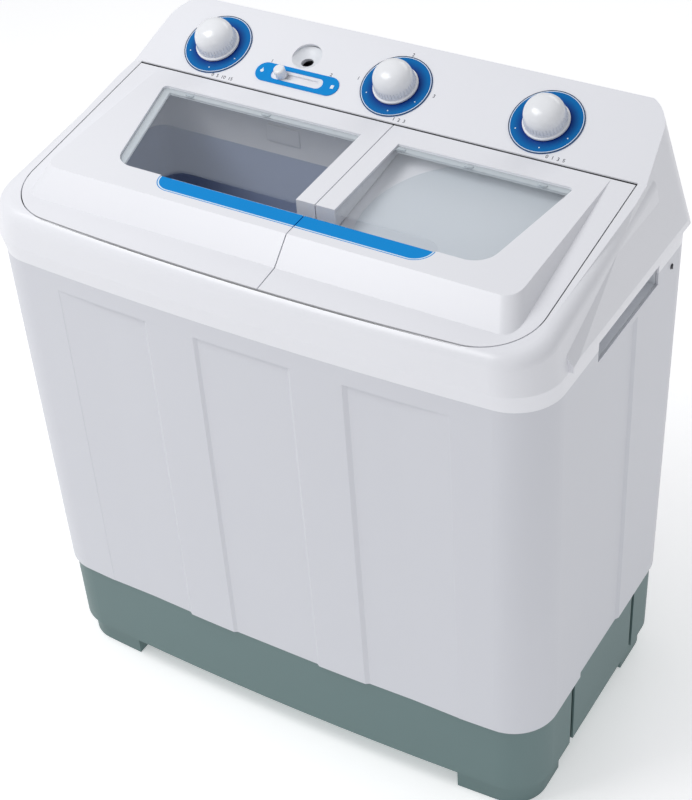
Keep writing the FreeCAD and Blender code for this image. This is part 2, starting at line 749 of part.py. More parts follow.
LIDS = {
    "wash": {"limits": (-400, split - half_gap), "hinges": (-292.0, -40.0),
             "window": [(split - half_gap - bar, window_back), (split - half_gap - bar, window_front),
                        (-238, window_front), (-285, window_back)], "rounds": {2: 30.0, 3: 6.0}},
    "spin": {"limits": (split + half_gap, 400), "hinges": (85.0, 292.0),
             "window": [(split + half_gap + bar, window_back), (split + half_gap + bar, window_front),
                        (258, window_front), (285, window_back)], "rounds": {2: 30.0, 3: 6.0}},
}
pin = size("hinge_pin")
knuckle = size("hinge_knuckle")
hinge_long = size("hinge_length")
ear = 4.0
ears = []
pins = []
for name, lid in LIDS.items():
    low_x, high_x = lid["limits"]
    window = upright_prism(lid["window"], 600, 950, lid["rounds"])
    frame = frames.common(slab(low_x, high_x, -300, 300, 600, 950)).cut(window)
    for centre in lid["hinges"]:
        start = Vector(centre - hinge_long / 2, hinge_y, hinge_z)
        end = start + Vector(hinge_long, 0, 0)
        block = rod(start, end, knuckle).fuse(slab(start.x, end.x, hinge_y - 4, hinge_y + 4, hinge_z,
                                                   deck_z(hinge_y) - lid_skin + 1))
        frame = frame.fuse(block).cut(rod(start - Vector(8, 0, 0), end + Vector(8, 0, 0), pin + fit_gap))
        for ear_x in (start.x - ear - 0.3, end.x + 0.3):
            plate_ear = rod(Vector(ear_x, hinge_y, hinge_z), Vector(ear_x + ear, hinge_y, hinge_z), knuckle)
            plate_ear = plate_ear.fuse(slab(ear_x, ear_x + ear, hinge_y - knuckle, hinge_y + knuckle,
                                            hinge_z - 20, hinge_z))
            ears.append(plate_ear)
        pins.append(rod(start - Vector(ear + 0.3, 0, 0), end + Vector(ear + 0.3, 0, 0), pin))
    keep(name + "_lid_frame", shaped(name + "_lid_frame", frame))

    lap = size("pane_lap")
    toward_split = lap if name == "wash" else -lap
    (near_x, _), _, (front_x, _), (back_x, _) = lid["window"]
    wide = [(near_x + toward_split, window_back + lap), (near_x + toward_split, window_front - lap),
            (front_x - toward_split, window_front - lap), (back_x - toward_split, window_back + lap)]
    pane_low = lid_skin + size("pane")
    band = prism_across([(-200, plateau_z(-200) - pane_low), (120, plateau_z(120) - pane_low),
                         (120, plateau_z(120) - lid_skin), (-200, plateau_z(-200) - lid_skin)], 400)
    glass = upright_prism(wide, 600, 950, {2: 34.0}).common(band).cut(handle_hole).cut(frame)
    glass = max(glass.Solids, key=lambda solid: solid.Volume)
    keep(name + "_lid_window", shaped(name + "_lid_window", glass))

    strip_band = prism_across([(-160, plateau_z(-160) - 11), (handle_y, plateau_z(handle_y) - 11),
                               (handle_y, plateau_z(handle_y)), (-160, plateau_z(-160))], 400)
    strip = handle_hole.common(strip_band).common(slab(low_x, high_x, -300, 300, 600, 950))
    keep(name + "_lid_strip", shaped(name + "_lid_strip", strip.cut(frame).cut(glass)))

deck_now = nodes["top_deck"].Shape
brackets = [piece.cut(deck_now) for piece in ears]
brackets = [max(piece.Solids, key=lambda solid: solid.CenterOfMass.z) for piece in brackets]
brackets = [piece.cut(pins) for piece in brackets]
keep("lid_hinge_pins", shaped("lid_hinge_pins", Part.makeCompound(pins)))

bumpers = []
for across, along in ((-180, -203.5), (180, -203.5), (-342, -40), (342, -40)):
    pad = Part.makeCylinder(4, 100, Vector(across, along, 680))
    bumpers.append(pad.common(above_deck(seat_depth)).common(below_deck(size("lid_skirt"))))
keep("lid_bumpers", shaped("lid_bumpers", Part.makeCompound(bumpers)))

# ---------------------------------------------------------------- wash tub and its drive
wash_floor = size("wash_floor")
shaft_spot = Vector(size("pulsator_across"), size("pulsator_along"), 0)
housing_radius = 24.0
tub = upright_prism(wash_plan, wash_floor, tub_rim, wash_round)
tub = tub.cut(upright_prism(wash_inside, wash_floor + wall, tub_rim + 1, wash_round_in))
tub = tub.cut(Part.makeCylinder(housing_radius - 8, 20, shaft_spot + Vector(0, 0, wash_floor - 5)))
drain_spot = Vector(-40, 40, 0)
tub = tub.cut(Part.makeCylinder(14, 20, drain_spot + Vector(0, 0, wash_floor - 5)))
tub = tub.cut(upright_prism(wash_plan, 600, 900).common(above_deck(seat_depth)))
keep("wash_tub", shaped("wash_tub", tub))

filter_box = cut(
    "filter_hollow",
    box("filter_outer", ("wash_right - wall - filter_depth", "-90", "wash_floor + 60"), "filter_depth", "90", "330"),
    box("filter_inner", ("wash_right - wall - filter_depth + 2", "-88", "wash_floor + 200"), "filter_depth - 4", "86",
        "188"))
keep("lint_filter", filter_box)

ground = "wash_floor - 92"
housing = turned("bearing_housing", [
    ("wash_shaft + 6", ground), ("22", ground), ("22", "wash_floor - 8"), ("38", "wash_floor - 6"),
    ("38", "wash_floor"), ("16", "wash_floor"), ("16", "wash_floor + 8"), ("wash_shaft + 6", "wash_floor + 8")],
    spot=("pulsator_across", "pulsator_along", "0"))
keep("wash_bearing_housing", housing)
bushes = []
for name, low in (("lower", "wash_floor - 90"), ("upper", "wash_floor - 30")):
    bush = turned("bush_" + name, [("wash_shaft + running_gap", low), ("wash_shaft + 6", low),
                                   ("wash_shaft + 6", low + " + 16"), ("wash_shaft + running_gap", low + " + 16")],
                  spot=("pulsator_across", "pulsator_along", "0"))
    bushes.append(bush)
seal = turned("seal", [("wash_shaft + running_gap", "wash_floor - 4"), ("wash_shaft + 6", "wash_floor - 4"),
                       ("wash_shaft + 6", "wash_floor + 6"), ("wash_shaft + running_gap", "wash_floor + 6")],
              spot=("pulsator_across", "pulsator_along", "0"))
keep("wash_bearings", group("bearing_group", bushes + [seal]))

shaft = turned("wash_spindle", [("0", "belt_height - 12"), ("wash_shaft", "belt_height - 12"),
                                ("wash_shaft", "wash_floor + 20"), ("0", "wash_floor + 20")],
               spot=("pulsator_across", "pulsator_along", "0"))
keep("pulsator_shaft", shaft)
disc_low = wash_floor + wall + 8
disc_radius = size("pulsator_radius")
disc = Part.makeCone(disc_radius, disc_radius - 12, 9, Vector(0, 0, disc_low))
disc = disc.fuse(Part.makeCylinder(24, 22, Vector(0, 0, disc_low)))
for turn_step in range(4):
    vane = slab(18, disc_radius - 8, -7, 7, disc_low + 4, disc_low + 24)
    vane = vane.makeChamfer(5, [edge for edge in vane.Edges if edge.BoundBox.ZMin > disc_low + 20
                                and edge.BoundBox.XLength > 20])
    vane.rotate(Vector(0, 0, 0), Vector(0, 0, 1), 90 * turn_step)
    disc = disc.fuse(vane)
disc = disc.cut(Part.makeCylinder(size("wash_shaft"), wash_floor + 20 - disc_low + 10, Vector(0, 0, disc_low - 10)))
disc = disc.cut(Part.makeCylinder(4, 60, Vector(0, 0, disc_low)))
keep("pulsator", shaped("pulsator", disc.removeSplitter(), Placement(shaft_spot, Rotation())))
screw = turned("pulsator_cap_screw", [("0", "wash_floor + 20"), ("4", "wash_floor + 20"), ("4", "wash_floor + wall + 30"),
                                      ("9", "wash_floor + wall + 30"), ("9", "wash_floor + wall + 34"),
                                      ("0", "wash_floor + wall + 34")],
               spot=("pulsator_across", "pulsator_along", "0"))
keep("pulsator_screw", screw)


def pulley(name, radius, bore, spot):
    """Grooved pulley centred on the belt's height."""
    rim = radius + " + 5"
    return turned(name, [(bore, "belt_height - 10"), (rim, "belt_height - 10"), (rim, "belt_height - 7"),
                         (radius, "belt_height - 3"), (radius, "belt_height + 3"), (rim, "belt_height + 7"),
                         (rim, "belt_height + 10"), (bore, "belt_height + 10")], spot=spot)


keep("wash_pulley", pulley("pulley_big", "wash_pulley", "wash_shaft", ("pulsator_across", "pulsator_along", "0")))
motor_spot = ("pulsator_across - motor_offset", "pulsator_along", "0")
keep("motor_pulley", turned("pulley_small", [
    ("0", "belt_height - 10"), ("motor_pulley + 5", "belt_height - 10"), ("motor_pulley + 5", "belt_height - 7"),
    ("motor_pulley", "belt_height - 3"), ("motor_pulley", "belt_height + 3"), ("motor_pulley + 5", "belt_height + 7"),
    ("motor_pulley + 5", "belt_height + 10"), ("6", "belt_height + 10"), ("6", "belt_height + 34"),
    ("0", "belt_height + 34")], spot=motor_spot))
motor = turned("wash_motor_body", [
    ("6.05", "belt_height + 20"), ("20", "belt_height + 20"), ("20", "belt_height + 26"),
    ("motor_radius - 10", "belt_height + 26"), ("motor_radius", "belt_height + 36"),
    ("motor_radius", "belt_height + 16 + motor_height"), ("motor_radius - 12", "belt_height + 26 + motor_height"),
    ("0", "belt_height + 26 + motor_height"), ("0", "belt_height + 34.5"), ("6.05", "belt_height + 34.5")],
    spot=motor_spot)
keep("wash_motor", motor)
motor_x = size("pulsator_across") - size("motor_offset")
hanger_low = size("belt_height") + 26 + size("motor_height")
hanger = Part.makeBox(90, 90, 3, Vector(motor_x - 45, size("pulsator_along") - 45, hanger_low))
for along in (-42, 34):
    hanger = hanger.fuse(slab(motor_x - 40, motor_x + 40, size("pulsator_along") + along,
                              size("pulsator_along") + along + 8, hanger_low, wash_floor))
keep("wash_motor_hanger", shaped("wash_motor_hanger", hanger))

# the belt keeps just clear of both pulleys, because it does not turn with them
belt_clear = 0.4
belt_radii = [size("motor_pulley") + belt_clear, size("wash_pulley") + belt_clear]
belt_low = size("belt_height") - 2.5


def belt_form(extra):
    """Flat loop round both pulleys, grown outward by an extra."""
    small, large = belt_radii[0] + extra, belt_radii[1] + extra
    distance = size("motor_offset")
    tilt = math.asin((large - small) / distance)
    points = []
    for side in (1, -1):
        for centre_x, radius in ((motor_x, small), (motor_x + distance, large)):
            points.append((centre_x - radius * math.sin(tilt), size("pulsator_along") + side * radius * math.cos(tilt)))
    order = [points[0], points[1], points[3], points[2]]
    loop = upright_prism(order, belt_low, belt_low + 5)
    for centre_x, radius in ((motor_x, small), (motor_x + distance, large)):
        loop = loop.fuse(Part.makeCylinder(radius, 5, Vector(centre_x, size("pulsator_along"), belt_low)))
    return loop.removeSplitter()


keep("drive_belt", shaped("drive_belt", belt_form(3.5).cut(belt_form(0.0))))

# ---------------------------------------------------------------- spin tub and its drive
spin_spot = ("spin_across", "spin_along", "0")
keep("spin_outer_tub", turned("spin_outer", [
    ("22", "spin_floor"), ("spin_tub_radius", "spin_floor"), ("spin_tub_radius", "tub_rim"),
    ("spin_tub_radius - wall", "tub_rim"), ("spin_tub_radius - wall", "spin_floor + wall"), ("22", "spin_floor + wall")],
    spot=spin_spot))
keep("spin_bellows_seal", turned("bellows", [
    ("spin_shaft + running_gap", "spin_floor - 14"), ("14", "spin_floor - 14"), ("19", "spin_floor - 9"),
    ("16", "spin_floor - 4"), ("21.8", "spin_floor"), ("21.8", "spin_floor + wall + 4"),
    ("16", "spin_floor + wall + 4"), ("12", "spin_floor - 4"), ("spin_shaft + running_gap", "spin_floor - 6")],
    spot=spin_spot))
basket = Part.makeCylinder(size("basket_radius"), size("basket_top") - size("basket_floor"),
                           Vector(0, 0, size("basket_floor")))
basket = basket.cut(Part.makeCylinder(size("basket_radius") - 2, 500, Vector(0, 0, size("basket_floor") + 3)))
basket = basket.fuse(Part.makeCone(38, 16, 26, Vector(0, 0, size("basket_floor") + 3)))
basket = basket.cut(Part.makeCylinder(size("spin_shaft"), 22, Vector(0, 0, size("basket_floor") - 1)))
drill = []
for level_step in range(5):
    for turn_step in range(12):
        hole = Part.makeCylinder(4, 20, Vector(size("basket_radius") - 10, 0, size("basket_floor") + 50 + 60 * level_step),
                                 Vector(1, 0, 0))
        hole.rotate(Vector(0, 0, 0), Vector(0, 0, 1), 30 * turn_step + 15 * (level_step % 2))
        drill.append(hole)
basket = basket.cut(drill)
keep("spin_basket", shaped("spin_basket", basket, Placement(spin_centre, Rotation())))
keep("basket_balance_ring", turned("balance_ring", [
    ("basket_radius - 14", "basket_top"), ("basket_radius", "basket_top"), ("basket_radius", "basket_top + 22"),
    ("basket_radius - 4", "basket_top + 26"), ("basket_radius - 10", "basket_top + 26"),
    ("basket_radius - 14", "basket_top + 22")], spot=spin_spot))
keep("spin_shaft", turned("spin_spindle", [
    ("0", "spin_motor_floor + 100"), ("spin_shaft", "spin_motor_floor + 100"), ("spin_shaft", "basket_floor + 21"),
    ("0", "basket_floor + 21")], spot=spin_spot))
keep("brake_drum", turned("drum", [
    ("spin_shaft", "spin_motor_floor + 118"), ("brake_radius", "spin_motor_floor + 118"),
    ("brake_radius", "spin_motor_floor + 140"), ("brake_radius - 5", "spin_motor_floor + 140"),
    ("brake_radius - 5", "spin_motor_floor + 122"), ("16", "spin_motor_floor + 122"),
    ("16", "spin_motor_floor + 146"), ("spin_shaft", "spin_motor_floor + 146")], spot=spin_spot))
keep("spin_motor", turned("spin_motor_body", [
    ("0", "spin_motor_floor"), ("motor_radius - 8", "spin_motor_floor"), ("motor_radius", "spin_motor_floor + 8"),
    ("motor_radius", "spin_motor_floor + 92"), ("motor_radius - 14", "spin_motor_floor + 104"),
    ("20", "spin_motor_floor + 110"), ("spin_shaft + running_gap", "spin_motor_floor + 110"),
    ("spin_shaft + running_gap", "spin_motor_floor + 99"), ("0", "spin_motor_floor + 99")], spot=spin_spot))

doc.recompute()
base_floor = foot_height + wall
mount_low = size("spin_motor_floor") + 20
spin_motor_form = nodes["spin_motor"].Shape
arms, springs, cups = [], [], []
for turn_step in range(3):
    degrees = 120 * turn_step + 30
    arm = slab(size("motor_radius") - 2, 92, -8, 8, mount_low, mount_low + 5)
    arm.rotate(Vector(0, 0, 0), Vector(0, 0, 1), degrees)
    arm.translate(spin_centre)
    arms.append(arm.cut(spin_motor_form))
    out = spin_centre + Vector(math.cos(math.radians(degrees)), math.sin(math.radians(degrees)), 0) * 82
    springs.append(Part.makeCylinder(9, mount_low - base_floor - 6, out + Vector(0, 0, base_floor + 6)))
    cup = Part.makeCylinder(14, 16, out + Vector(0, 0, base_floor))
    cups.append(cup.cut(Part.makeCylinder(11, 12, out + Vector(0, 0, base_floor + 6))))
keep("spin_mount_springs", shaped("spin_mount_springs", Part.makeCompound(springs)))
keep("spin_mount_cups", shaped("spin_mount_cups", Part.makeCompound(cups)))

# brake: a lever beside the drum, on a post carried by a strap from the motor
brake_low = size("spin_motor_floor") + 118
post_spot = spin_centre + Vector(size("brake_radius") + 14, 70, 0)
strap_high = brake_low - 2
strap = slab(post_spot.x - 30, post_spot.x + 10, post_spot.y - 40, post_spot.y + 10, mount_low + 40, mount_low + 44)
strap = strap.cut(spin_motor_form)
post = Part.makeCylinder(4, strap_high + 26 - mount_low - 44, Vector(post_spot.x, post_spot.y, mount_low + 44))
arms.append(strap.fuse(post))
keep("spin_mount_arms", shaped("spin_mount_arms", Part.makeCompound(arms)))
lever = slab(post_spot.x - 4, post_spot.x + 4, spin_centre.y - 12, post_spot.y, brake_low + 2, brake_low + 18)
lever = lever.fuse(Part.makeCylinder(9, 16, Vector(post_spot.x, post_spot.y, brake_low + 2)))
lever = lever.fuse(slab(spin_centre.x + size("brake_radius") - 6, post_spot.x, spin_centre.y - 12,
                        spin_centre.y + 12, brake_low + 2, brake_low + 18))
lever = lever.cut(Part.makeCylinder(size("brake_radius") + 1, 60, spin_centre + Vector(0, 0, brake_low - 20)))
lever = lever.cut(Part.makeCylinder(4 + fit_gap, 60, Vector(post_spot.x, post_spot.y, brake_low - 20)))
keep("brake_lever", shaped("brake_lever", lever))

# ---------------------------------------------------------------- spin tub's inner lid
inner_low = seat_depth - 0.4
inner_lid = Part.makeCylinder(spin_radius + 3, 200, spin_centre + Vector(0, 0, 680))
inner_lid = inner_lid.common(above_deck(inner_low)).common(below_deck(inner_low - 2.5))
inner_lid = inner_lid.common(slab(-400, 400, -300, 92, 600, 950))
inner_grip = slab(spin_centre.x - 35, spin_centre.x + 35, -118, -110, 600, 950)
inner_grip = inner_grip.common(above_deck(inner_low)).common(below_deck(inner_low - 14))
inner_lid = inner_lid.fuse(inner_grip)
inner_y, inner_z = 94.0, deck_z(94.0) - seat_depth + 3.2
inner_ears = []
for centre in (150.0, 230.0):
    start, end = Vector(centre - 9, inner_y, inner_z), Vector(centre + 9, inner_y, inner_z)
    inner_lid = inner_lid.fuse(rod(start, end, 2.4))
    inner_lid = inner_lid.fuse(slab(start.x, end.x, 88, inner_y, inner_z - 2.0, inner_z))
    inner_lid = inner_lid.fuse(rod(start - Vector(3, 0, 0), end + Vector(3, 0, 0), 1.2))
    for ear_x in (start.x - 4.3, end.x + 0.3):
        piece = slab(ear_x, ear_x + 4, inner_y - 2.5, inner_y + 2.5, inner_z - 12, inner_z + 2.5)
        piece = piece.cut(rod(Vector(ear_x - 1, inner_y, inner_z), Vector(ear_x + 5, inner_y, inner_z), 1.2 + fit_gap))
        piece = piece.cut(nodes["top_deck"].Shape)
        inner_ears.append(max(piece.Solids, key=lambda solid: solid.CenterOfMass.z))
        inner_lid = inner_lid.cut(slab(ear_x - 0.4, ear_x + 4.4, 80, inner_y - 1.3, 600, 900))
keep("spin_inner_lid", shaped("spin_inner_lid", inner_lid.removeSplitter()))
keep("lid_hinge_brackets", shaped("lid_hinge_brackets", Part.makeCompound(brackets + inner_ears)))

# ---------------------------------------------------------------- water in and out
spout_low, spout_high = 718.0, 748.0
channel = slab(-152, -104, size("wash_back"), 200, spout_low - 2, spout_high)
channel = channel.cut(slab(-150, -106, size("wash_back") - 5, 198, spout_low, spout_high + 5))
keep("inlet_channel", shaped("inlet_channel", channel))
nodes["top_deck"].Shape = nodes["top_deck"].Shape.cut(slab(-150, -106, size("wash_back") - wall - 1,
                                                           size("wash_back") + 1, spout_low, spout_high - 8))

valve = turned("valve_body", [
    ("4 + running_gap", "wash_floor - 56"), ("20", "wash_floor - 56"), ("20", "wash_floor - 4"), ("26", "wash_floor - 4"),
    ("26", "wash_floor"), ("14.5", "wash_floor"), ("14.5", "wash_floor - 50"), ("4 + running_gap", "wash_floor - 50")])
doc.recompute()
valve_form = valve.Shape.copy()
valve_form.translate(drain_spot)
outlet_high = wash_floor - 32
outlet = rod(drain_spot + Vector(16, 0, outlet_high), drain_spot + Vector(34, 0, outlet_high), 9)
outlet_bore = rod(drain_spot + Vector(10, 0, outlet_high), drain_spot + Vector(40, 0, outlet_high), 7)
keep("drain_valve_body", shaped("drain_valve_body", valve_form.fuse(outlet).cut(outlet_bore)
                                .cut(Part.makeCylinder(14.5, 40, drain_spot + Vector(0, 0, wash_floor - 45)))))
doc.removeObject("valve_body")
rod_form = Part.makeCylinder(4, 62, drain_spot + Vector(0, 0, wash_floor - 66))
rod_form = rod_form.fuse(Part.makeCylinder(13, 7, drain_spot + Vector(0, 0, wash_floor - 5)))
keep("drain_valve_plunger", shaped("drain_valve_plunger", rod_form))


def bent_tube(points, radius, bore):
    """Tube along straight runs joined by tangent arcs."""
    edges = []
    start = points[0]
    for index in range(1, len(points) - 1):
        corner = points[index]
        back_run, next_run = points[index - 1] - corner, points[index + 1] - corner
        reach = 0.45 * min(back_run.Length, next_run.Length)
        first = corner + Vector(back_run).normalize() * reach
        last = corner + Vector(next_run).normalize() * reach
        half_turn = (math.pi - back_run.getAngle(next_run)) / 2
        bisector = (Vector(back_run).normalize() + Vector(next_run).normalize()).normalize()
        bend = reach / math.tan(half_turn)
        centre = corner + bisector * (bend / math.cos(half_turn))
        edges.append(Part.LineSegment(start, first).toShape())
        edges.append(Part.Arc(first, centre + (corner - centre).normalize() * bend, last).toShape())
        start = last
        print("hose bend radius {:.0f}".format(bend))
    edges.append(Part.LineSegment(start, points[-1]).toShape())
    path = Part.Wire(edges)
    solids = []
    for ring_radius in (radius, bore):
        circle = Part.Wire([Part.Circle(points[0], points[1] - points[0], ring_radius).toShape()])
        solids.append(path.makePipeShell([circle], True, True))
    print("hose length {:.0f}, volume ratio {:.4f}".format(
        path.Length, solids[0].Volume / (math.pi * radius ** 2 * path.Length)))
    return solids[0].cut(solids[1])


outlet_end = drain_spot + Vector(34, 0, outlet_high)
spigot_spot = Vector(46, 186, 112)
hose_points = [outlet_end, Vector(46, 40, outlet_high), Vector(46, 116, spigot_spot.z), spigot_spot]
keep("drain_hose", shaped("drain_hose", bent_tube(hose_points, 9.0, 7.0)))


def wall_fitting(name, label, spot, outer_radius, bore, flange):
    """Round fitting through the skirt's back, with a flange on the outside."""
    face_y = cabinet_section(spot.z, skirt_inset)[3]
    body = rod(spot, Vector(spot.x, face_y + 14, spot.z), outer_radius)
    body = body.fuse(rod(Vector(spot.x, face_y + 0.2, spot.z), Vector(spot.x, face_y + 3.2, spot.z), flange))
    body = body.cut(rod(spot - Vector(0, 5, 0), Vector(spot.x, face_y + 20, spot.z), bore))
    body = body.cut(nodes["base_skirt"].Shape.common(rod(spot, Vector(spot.x, face_y + 14, spot.z), flange + 1))
                    .cut(rod(spot, Vector(spot.x, face_y + 14, spot.z), outer_radius)))
    nodes["base_skirt"].Shape = nodes["base_skirt"].Shape.cut(rod(spot, Vector(spot.x, 300, spot.z), outer_radius))
    keep(label, shaped(name, body))


wall_fitting("spigot", "drain_spigot", spigot_spot, 11.0, 8.0, 17.0)
wall_fitting("gland", "cord_gland", Vector(-250, 186, 112), 8.0, 4.0, 13.0)
keep("motor_capacitors", group("capacitor_group", [
    cylinder("capacitor_one", ("-60", "130", "foot_height + wall"), "17", "62"),
    cylinder("capacitor_two", ("-15", "130", "foot_height + wall"), "17", "62")]))


# ---------------------------------------------------------------- write the sub-parts
doc.recompute()
for thing in doc.Objects:
    for flag in ("Invalid", "Error"):
        if flag in thing.State:
            raise RuntimeError("{} is {}".format(thing.Name, flag))
for label, thing in nodes.items():
    if thing.Shape.isNull() or not thing.Shape.isValid():
        raise RuntimeError(label + " has no valid shape")
os.makedirs("parts", exist_ok=True)
for label, thing in nodes.items():
    thing.Shape.exportStep("parts/" + label + ".step")
    print("{:26s} solids {:2d} volume {:9.0f}".format(label, len(thing.Shape.Solids), thing.Shape.Volume))
print(len(nodes), "sub-parts")
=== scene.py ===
# %% [markdown]
# # Twin tub washer
# A household washing machine with two tubs side by side: a wash tub with a
# pulsator on the left and a spin basket on the right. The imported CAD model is
# the frame. It already holds every hard part in its place, so this script
# gives those parts their finishes and adds the small moulded detail that a
# plain solid doesn't have.

# %% Load the frame
import json
import math

import bmesh
import bpy
from mathutils import Matrix, Vector


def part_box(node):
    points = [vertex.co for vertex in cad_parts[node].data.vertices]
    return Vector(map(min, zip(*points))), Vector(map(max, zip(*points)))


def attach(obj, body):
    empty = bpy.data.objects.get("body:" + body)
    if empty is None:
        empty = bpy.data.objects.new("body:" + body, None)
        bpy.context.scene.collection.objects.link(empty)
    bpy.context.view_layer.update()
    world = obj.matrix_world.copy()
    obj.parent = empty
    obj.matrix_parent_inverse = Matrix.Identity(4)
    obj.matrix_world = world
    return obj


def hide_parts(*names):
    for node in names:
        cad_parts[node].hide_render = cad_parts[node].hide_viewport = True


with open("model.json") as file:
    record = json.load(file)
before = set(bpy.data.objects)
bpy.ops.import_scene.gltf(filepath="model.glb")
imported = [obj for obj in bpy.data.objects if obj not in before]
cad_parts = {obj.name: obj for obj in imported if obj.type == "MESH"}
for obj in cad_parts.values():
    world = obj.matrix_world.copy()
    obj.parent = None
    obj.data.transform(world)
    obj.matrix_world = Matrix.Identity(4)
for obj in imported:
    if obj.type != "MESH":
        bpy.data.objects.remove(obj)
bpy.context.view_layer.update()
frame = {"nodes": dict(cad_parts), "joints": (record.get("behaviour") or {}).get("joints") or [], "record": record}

nodes = frame["nodes"]

# %% [markdown]
# ## Camera
# A long lens from the front right and well above. The camera's axes are worked
# out from an azimuth, an elevation and a small roll, so each can be tuned by
# itself.

# %% Camera
AZIMUTH, ELEVATION, ROLL = (math.radians(value) for value in (32.76, 37.42, -3.72))
LOOK_AT = Vector((0.00039, 0.02018, 0.45198))
DISTANCE = 2.34542
LENS = 81.57
SHIFT = (-0.0087, -0.0365)

back = Vector((math.sin(AZIMUTH) * math.cos(ELEVATION), -math.cos(AZIMUTH) * math.cos(ELEVATION),
               math.sin(ELEVATION)))
level_right = (-back).cross(Vector((0, 0, 1))).normalized()
level_up = level_right.cross(-back)
right = math.cos(ROLL) * level_right + math.sin(ROLL) * level_up
up = math.cos(ROLL) * level_up - math.sin(ROLL) * level_right
camera_data = bpy.data.cameras.new("studio_camera")
camera_data.sensor_width = 36.0
camera_data.lens = LENS
camera_data.shift_x, camera_data.shift_y = SHIFT
camera_data.clip_start, camera_data.clip_end = 0.05, 50.0
camera = bpy.data.objects.new("studio_camera", camera_data)
bpy.context.scene.collection.objects.link(camera)
camera_turn = Matrix((right, up, back)).transposed().to_4x4()
camera.matrix_world = Matrix.Translation(LOOK_AT + back * DISTANCE) @ camera_turn
bpy.context.scene.camera = camera
print("camera at", [round(v, 3) for v in camera.location])

# %% [markdown]
# ## Shared effects
# Moulded plastic is never one even tone: it has a very fine grain and slow
# unevenness from cooling. Each effect is one node group with named sockets,
# and puts out masks and normals only, so each material can use it at its own
# strength.


# %% Node helpers
def new_group(name, inputs, outputs):
    """Empty node group with typed, named sockets and its two end nodes."""
    group = bpy.data.node_groups.new(name, "ShaderNodeTree")
    for label, kind, value in inputs:
        socket = group.interface.new_socket(label, in_out="INPUT", socket_type=kind)
        if value is not None:
            socket.default_value = value
    for label, kind in outputs:
        group.interface.new_socket(label, in_out="OUTPUT", socket_type=kind)
    start = group.nodes.new("NodeGroupInput")
    end = group.nodes.new("NodeGroupOutput")
    return group, start, end


def new_material(name):
    """Empty material; gives it, its node tree and its shader."""
    material = bpy.data.materials.new(name)
    material.use_nodes = True
    return material, material.node_tree, material.node_tree.nodes["Principled BSDF"]


def math_node(tree, operation, *values):
    """Math node wired to sockets or set to plain numbers; gives its output."""
    node = tree.nodes.new("ShaderNodeMath")
    node.operation = operation
    for slot_index, value in enumerate(values):
        if isinstance(value, (int, float)):
            node.inputs[slot_index].default_value = value
        else:
            tree.links.new(value, node.inputs[slot_index])
    return node.outputs[0]


def length_of(tree, first, second):
    """Length of the flat step that goes first one way and second the other."""
    squares = [math_node(tree, "MULTIPLY", value, value) for value in (first, second)]
    return math_node(tree, "SQRT", math_node(tree, "ADD", *squares))


def mask_between(tree, value, low, high):
    """One where the value lies between two limits, else nothing."""
    above = math_node(tree, "GREATER_THAN", value, low)
    below = math_node(tree, "LESS_THAN", value, high)
    return math_node(tree, "MULTIPLY", above, below)


def object_place(tree):
    """Object coordinates, whole and as separate X, Y and Z."""
    place = tree.nodes.new("ShaderNodeTexCoord").outputs["Object"]
    split = tree.nodes.new("ShaderNodeSeparateXYZ")
    tree.links.new(place, split.inputs["Vector"])
    return place, [split.outputs[axis] for axis in "XYZ"]


def noise(tree, vector, scale, detail):
    """Noise texture read at a vector; gives its factor."""
    node = tree.nodes.new("ShaderNodeTexNoise")
    for label, value in (("Scale", scale), ("Detail", detail)):
        if isinstance(value, (int, float)):
            node.inputs[label].default_value = value
        else:
            tree.links.new(value, node.inputs[label])
    tree.links.new(vector, node.inputs["Vector"])
    return node.outputs["Fac"]


def bump_from(tree, height, strength, distance):
    """Bump from a height; gives its normal."""
    bump = tree.nodes.new("ShaderNodeBump")
    bump.inputs["Strength"].default_value = strength
    bump.inputs["Distance"].default_value = distance
    tree.links.new(height, bump.inputs["Height"])
    return bump.outputs["Normal"]


def colour_mix(tree, mask, first, second):
    """Goes from the first colour to the second as the mask goes from nothing to one."""
    mix = tree.nodes.new("ShaderNodeMix")
    mix.data_type = "RGBA"
    for label, value in (("A", first), ("B", second)):
        if isinstance(value, tuple):
            mix.inputs[label].default_value = (*value, 1)
        else:
            tree.links.new(value, mix.inputs[label])
    tree.links.new(mask, mix.inputs["Factor"])
    return mix.outputs["Result"]


def base_colour(shader):
    """Socket that already feeds a shader's base colour."""
    return shader.inputs["Base Color"].links[0].from_socket


def recoloured(material, name):
    """Copy of a material under a new name; gives it, its node tree and its shader."""
    copied = material.copy()
    copied.name = name
    return copied, copied.node_tree, copied.node_tree.nodes["Principled BSDF"]


# %% Moulded grain and mottling
def moulded_group():
    group, start, end = new_group(
        "moulded_surface",
        [("Vector", "NodeSocketVector", None), ("Grain Scale", "NodeSocketFloat", 900.0),
         ("Grain Depth", "NodeSocketFloat", 0.15), ("Waviness", "NodeSocketFloat", 0.1)],
        [("Normal", "NodeSocketVector"), ("Mottle", "NodeSocketFloat")])
    grain = noise(group, start.outputs["Vector"], start.outputs["Grain Scale"], 2.0)
    slow = noise(group, start.outputs["Vector"], 9.0, 2.0)
    mottle = noise(group, start.outputs["Vector"], 3.5, 4.0)
    wave = math_node(group, "MULTIPLY", slow, start.outputs["Waviness"])
    fine = math_node(group, "MULTIPLY", grain, start.outputs["Grain Depth"])
    normal = bump_from(group, math_node(group, "ADD", wave, fine), 0.35, 0.0006)
    group.links.new(normal, end.inputs["Normal"])
    group.links.new(mottle, end.inputs["Mottle"])
    return group


MOULDED = moulded_group()
print("group", MOULDED.name, len(MOULDED.nodes), "nodes")


# %% [markdown]
# ## Plastics
# Most of the machine is injection-moulded plastic. One function makes every
# plastic: a base colour that drifts a little, a roughness that drifts with it,
# and the grain above.

